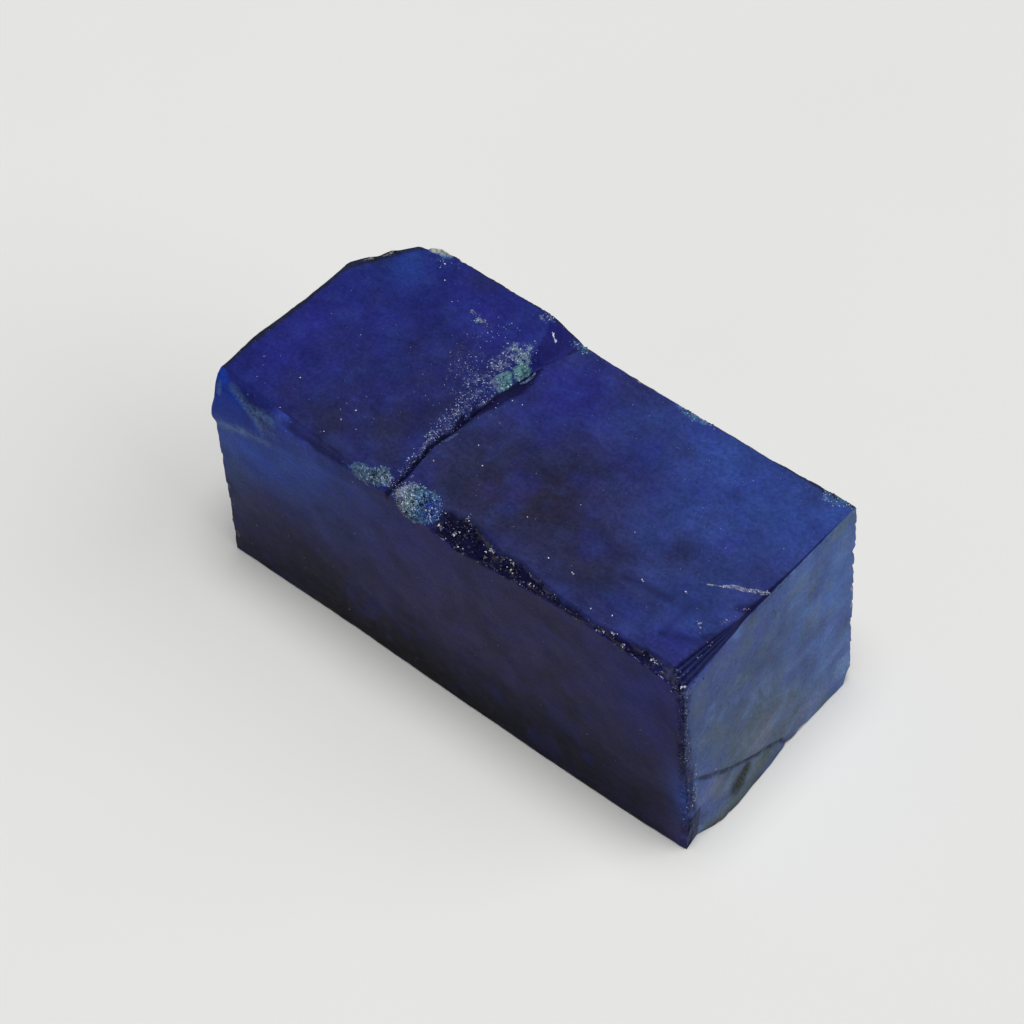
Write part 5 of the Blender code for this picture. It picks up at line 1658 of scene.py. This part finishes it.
class BuildDust(bpy.types.Operator):
    """Scatter pale specks of dust"""

    bl_idname = "tanzanite.build_dust"
    bl_label = "Build dust"

    def execute(self, context):
        shape = context.scene.tanzanite_shape
        rng = np.random.default_rng(shape.seed + 3)
        skin = StoneSkin()
        upward = skin.normal[:, 2] > 0.8
        trail = patch(skin.middle, *DUST_TRAIL)
        weight = upward * (0.12 + trail) + 0.02 * ~upward
        places, normals, colours, _ = skin.scattered(rng, weight, DUST_SPECKS)
        radii = shape.dust / MM * (0.4 + 0.6 * rng.random(DUST_SPECKS) ** 3)
        colours = colours + np.array(DUST_WHITE) * rng.uniform(0.2, 2.0, (DUST_SPECKS, 1))
        material = grain_finish("pale dust", 0.5, 0.4)
        build_grains("pale_dust", rng, places, normals, radii, colours, material)
        return {"FINISHED"}


def aim(place, azimuth, elevation, roll):
    """The matrix of a camera at a place: it looks back along the direction that lies at this azimuth
    from the front and at this elevation, rolled about its own view."""
    back = Vector((math.sin(azimuth) * math.cos(elevation), -math.cos(azimuth) * math.cos(elevation),
                   math.sin(elevation)))
    right = (-back).cross(Vector((0.0, 0.0, 1.0))).normalized()
    down = (-back).cross(right)
    rolled_right = math.cos(roll) * right + math.sin(roll) * down
    rolled_down = -math.sin(roll) * right + math.cos(roll) * down
    turned = Matrix((rolled_right, -rolled_down, back)).transposed()
    return Matrix.Translation(place) @ turned.to_4x4()


def add_sun(name, towards, strength, spread):
    """A far light that shines from a direction, spread over an angle in degrees."""
    light = bpy.data.lights.new(name, "SUN")
    light.energy = strength
    light.angle = math.radians(spread)
    light.color = SUN_COLOUR
    made = bpy.data.objects.new(name, light)
    made.rotation_euler = Vector(towards).to_track_quat("Z", "Y").to_euler()
    bpy.context.scene.collection.objects.link(made)


class BuildStage(bpy.types.Operator):
    """Set the pale floor, the soft light and the camera"""

    bl_idname = "tanzanite.build_stage"
    bl_label = "Build stage"

    def execute(self, context):
        stage = context.scene.tanzanite_stage
        bench = NodeBench("pale table")
        shade = bench.ramp(bench.noise(bench.object_place(), 60.0, 3.0), 0.3, 0.7, 0.99, 1.01)
        table = bench.finish(bench.shaded(opaque(stage.floor_colour), shade), 0.6, None, 0.2)
        corners = FLOOR_HALF * np.array([(-1, -1, 0), (1, -1, 0), (1, 1, 0), (-1, 1, 0)])
        floor = new_mesh_object("floor", corners, [np.array([(0, 1, 2, 3)])], table, False)
        world = bpy.data.worlds.new("soft room")
        world.use_nodes = True
        fill = world.node_tree.nodes["Background"]
        fill.inputs["Color"].default_value = opaque(ROOM_COLOUR)
        fill.inputs["Strength"].default_value = stage.room_light
        context.scene.world = world
        add_sun("window", (0.75, 0.35, 0.6), stage.window_light, 60.0)
        add_sun("overhead", (0.06, 0.0, 1.0), stage.overhead_light, 30.0)
        camera = bpy.data.cameras.new("camera")
        camera.lens = CAMERA_LENS
        viewer = bpy.data.objects.new("camera", camera)
        viewer.matrix_world = aim(CAMERA_PLACE, CAMERA_AZIMUTH, CAMERA_ELEVATION, CAMERA_ROLL)
        context.scene.collection.objects.link(viewer)
        context.scene.camera = viewer
        context.scene.view_settings.view_transform = "Standard"
        return {"FINISHED"}


class TanzanitePanel(bpy.types.Panel):
    """Sizes, colours and build steps of the rough tanzanite block"""

    bl_idname = "VIEW3D_PT_tanzanite"
    bl_label = "Rough tanzanite"
    bl_space_type = "VIEW_3D"
    bl_region_type = "UI"
    bl_category = "Tanzanite"

    def draw(self, context):
        for group_name in GROUPS:
            group = getattr(context.scene, group_name)
            box = self.layout.box()
            for name in group.__annotations__:
                box.prop(group, name)
        for step in STEPS:
            self.layout.operator(step.bl_idname)


GROUPS = {
    "tanzanite_shape": TanzaniteShape,
    "tanzanite_finish": TanzaniteFinish,
    "tanzanite_stage": TanzaniteStage,
}
STEPS = (BuildStone, BuildCrustGrains, BuildSplinters, BuildGlints, BuildDust, BuildStage)


def register():
    for kind in (*GROUPS.values(), *STEPS, TanzanitePanel):
        bpy.utils.register_class(kind)
    for name, kind in GROUPS.items():
        setattr(bpy.types.Scene, name, bpy.props.PointerProperty(type=kind))


def unregister():
    for name in GROUPS:
        delattr(bpy.types.Scene, name)
    for kind in reversed((*GROUPS.values(), *STEPS, TanzanitePanel)):
        bpy.utils.unregister_class(kind)


def main():
    """Register and build every piece in order."""
    register()
    bpy.ops.tanzanite.build_stone()
    bpy.ops.tanzanite.build_crust_grains()
    bpy.ops.tanzanite.build_splinters()
    bpy.ops.tanzanite.build_glints()
    bpy.ops.tanzanite.build_dust()
    bpy.ops.tanzanite.build_stage()


if __name__ == "__main__":
    main()
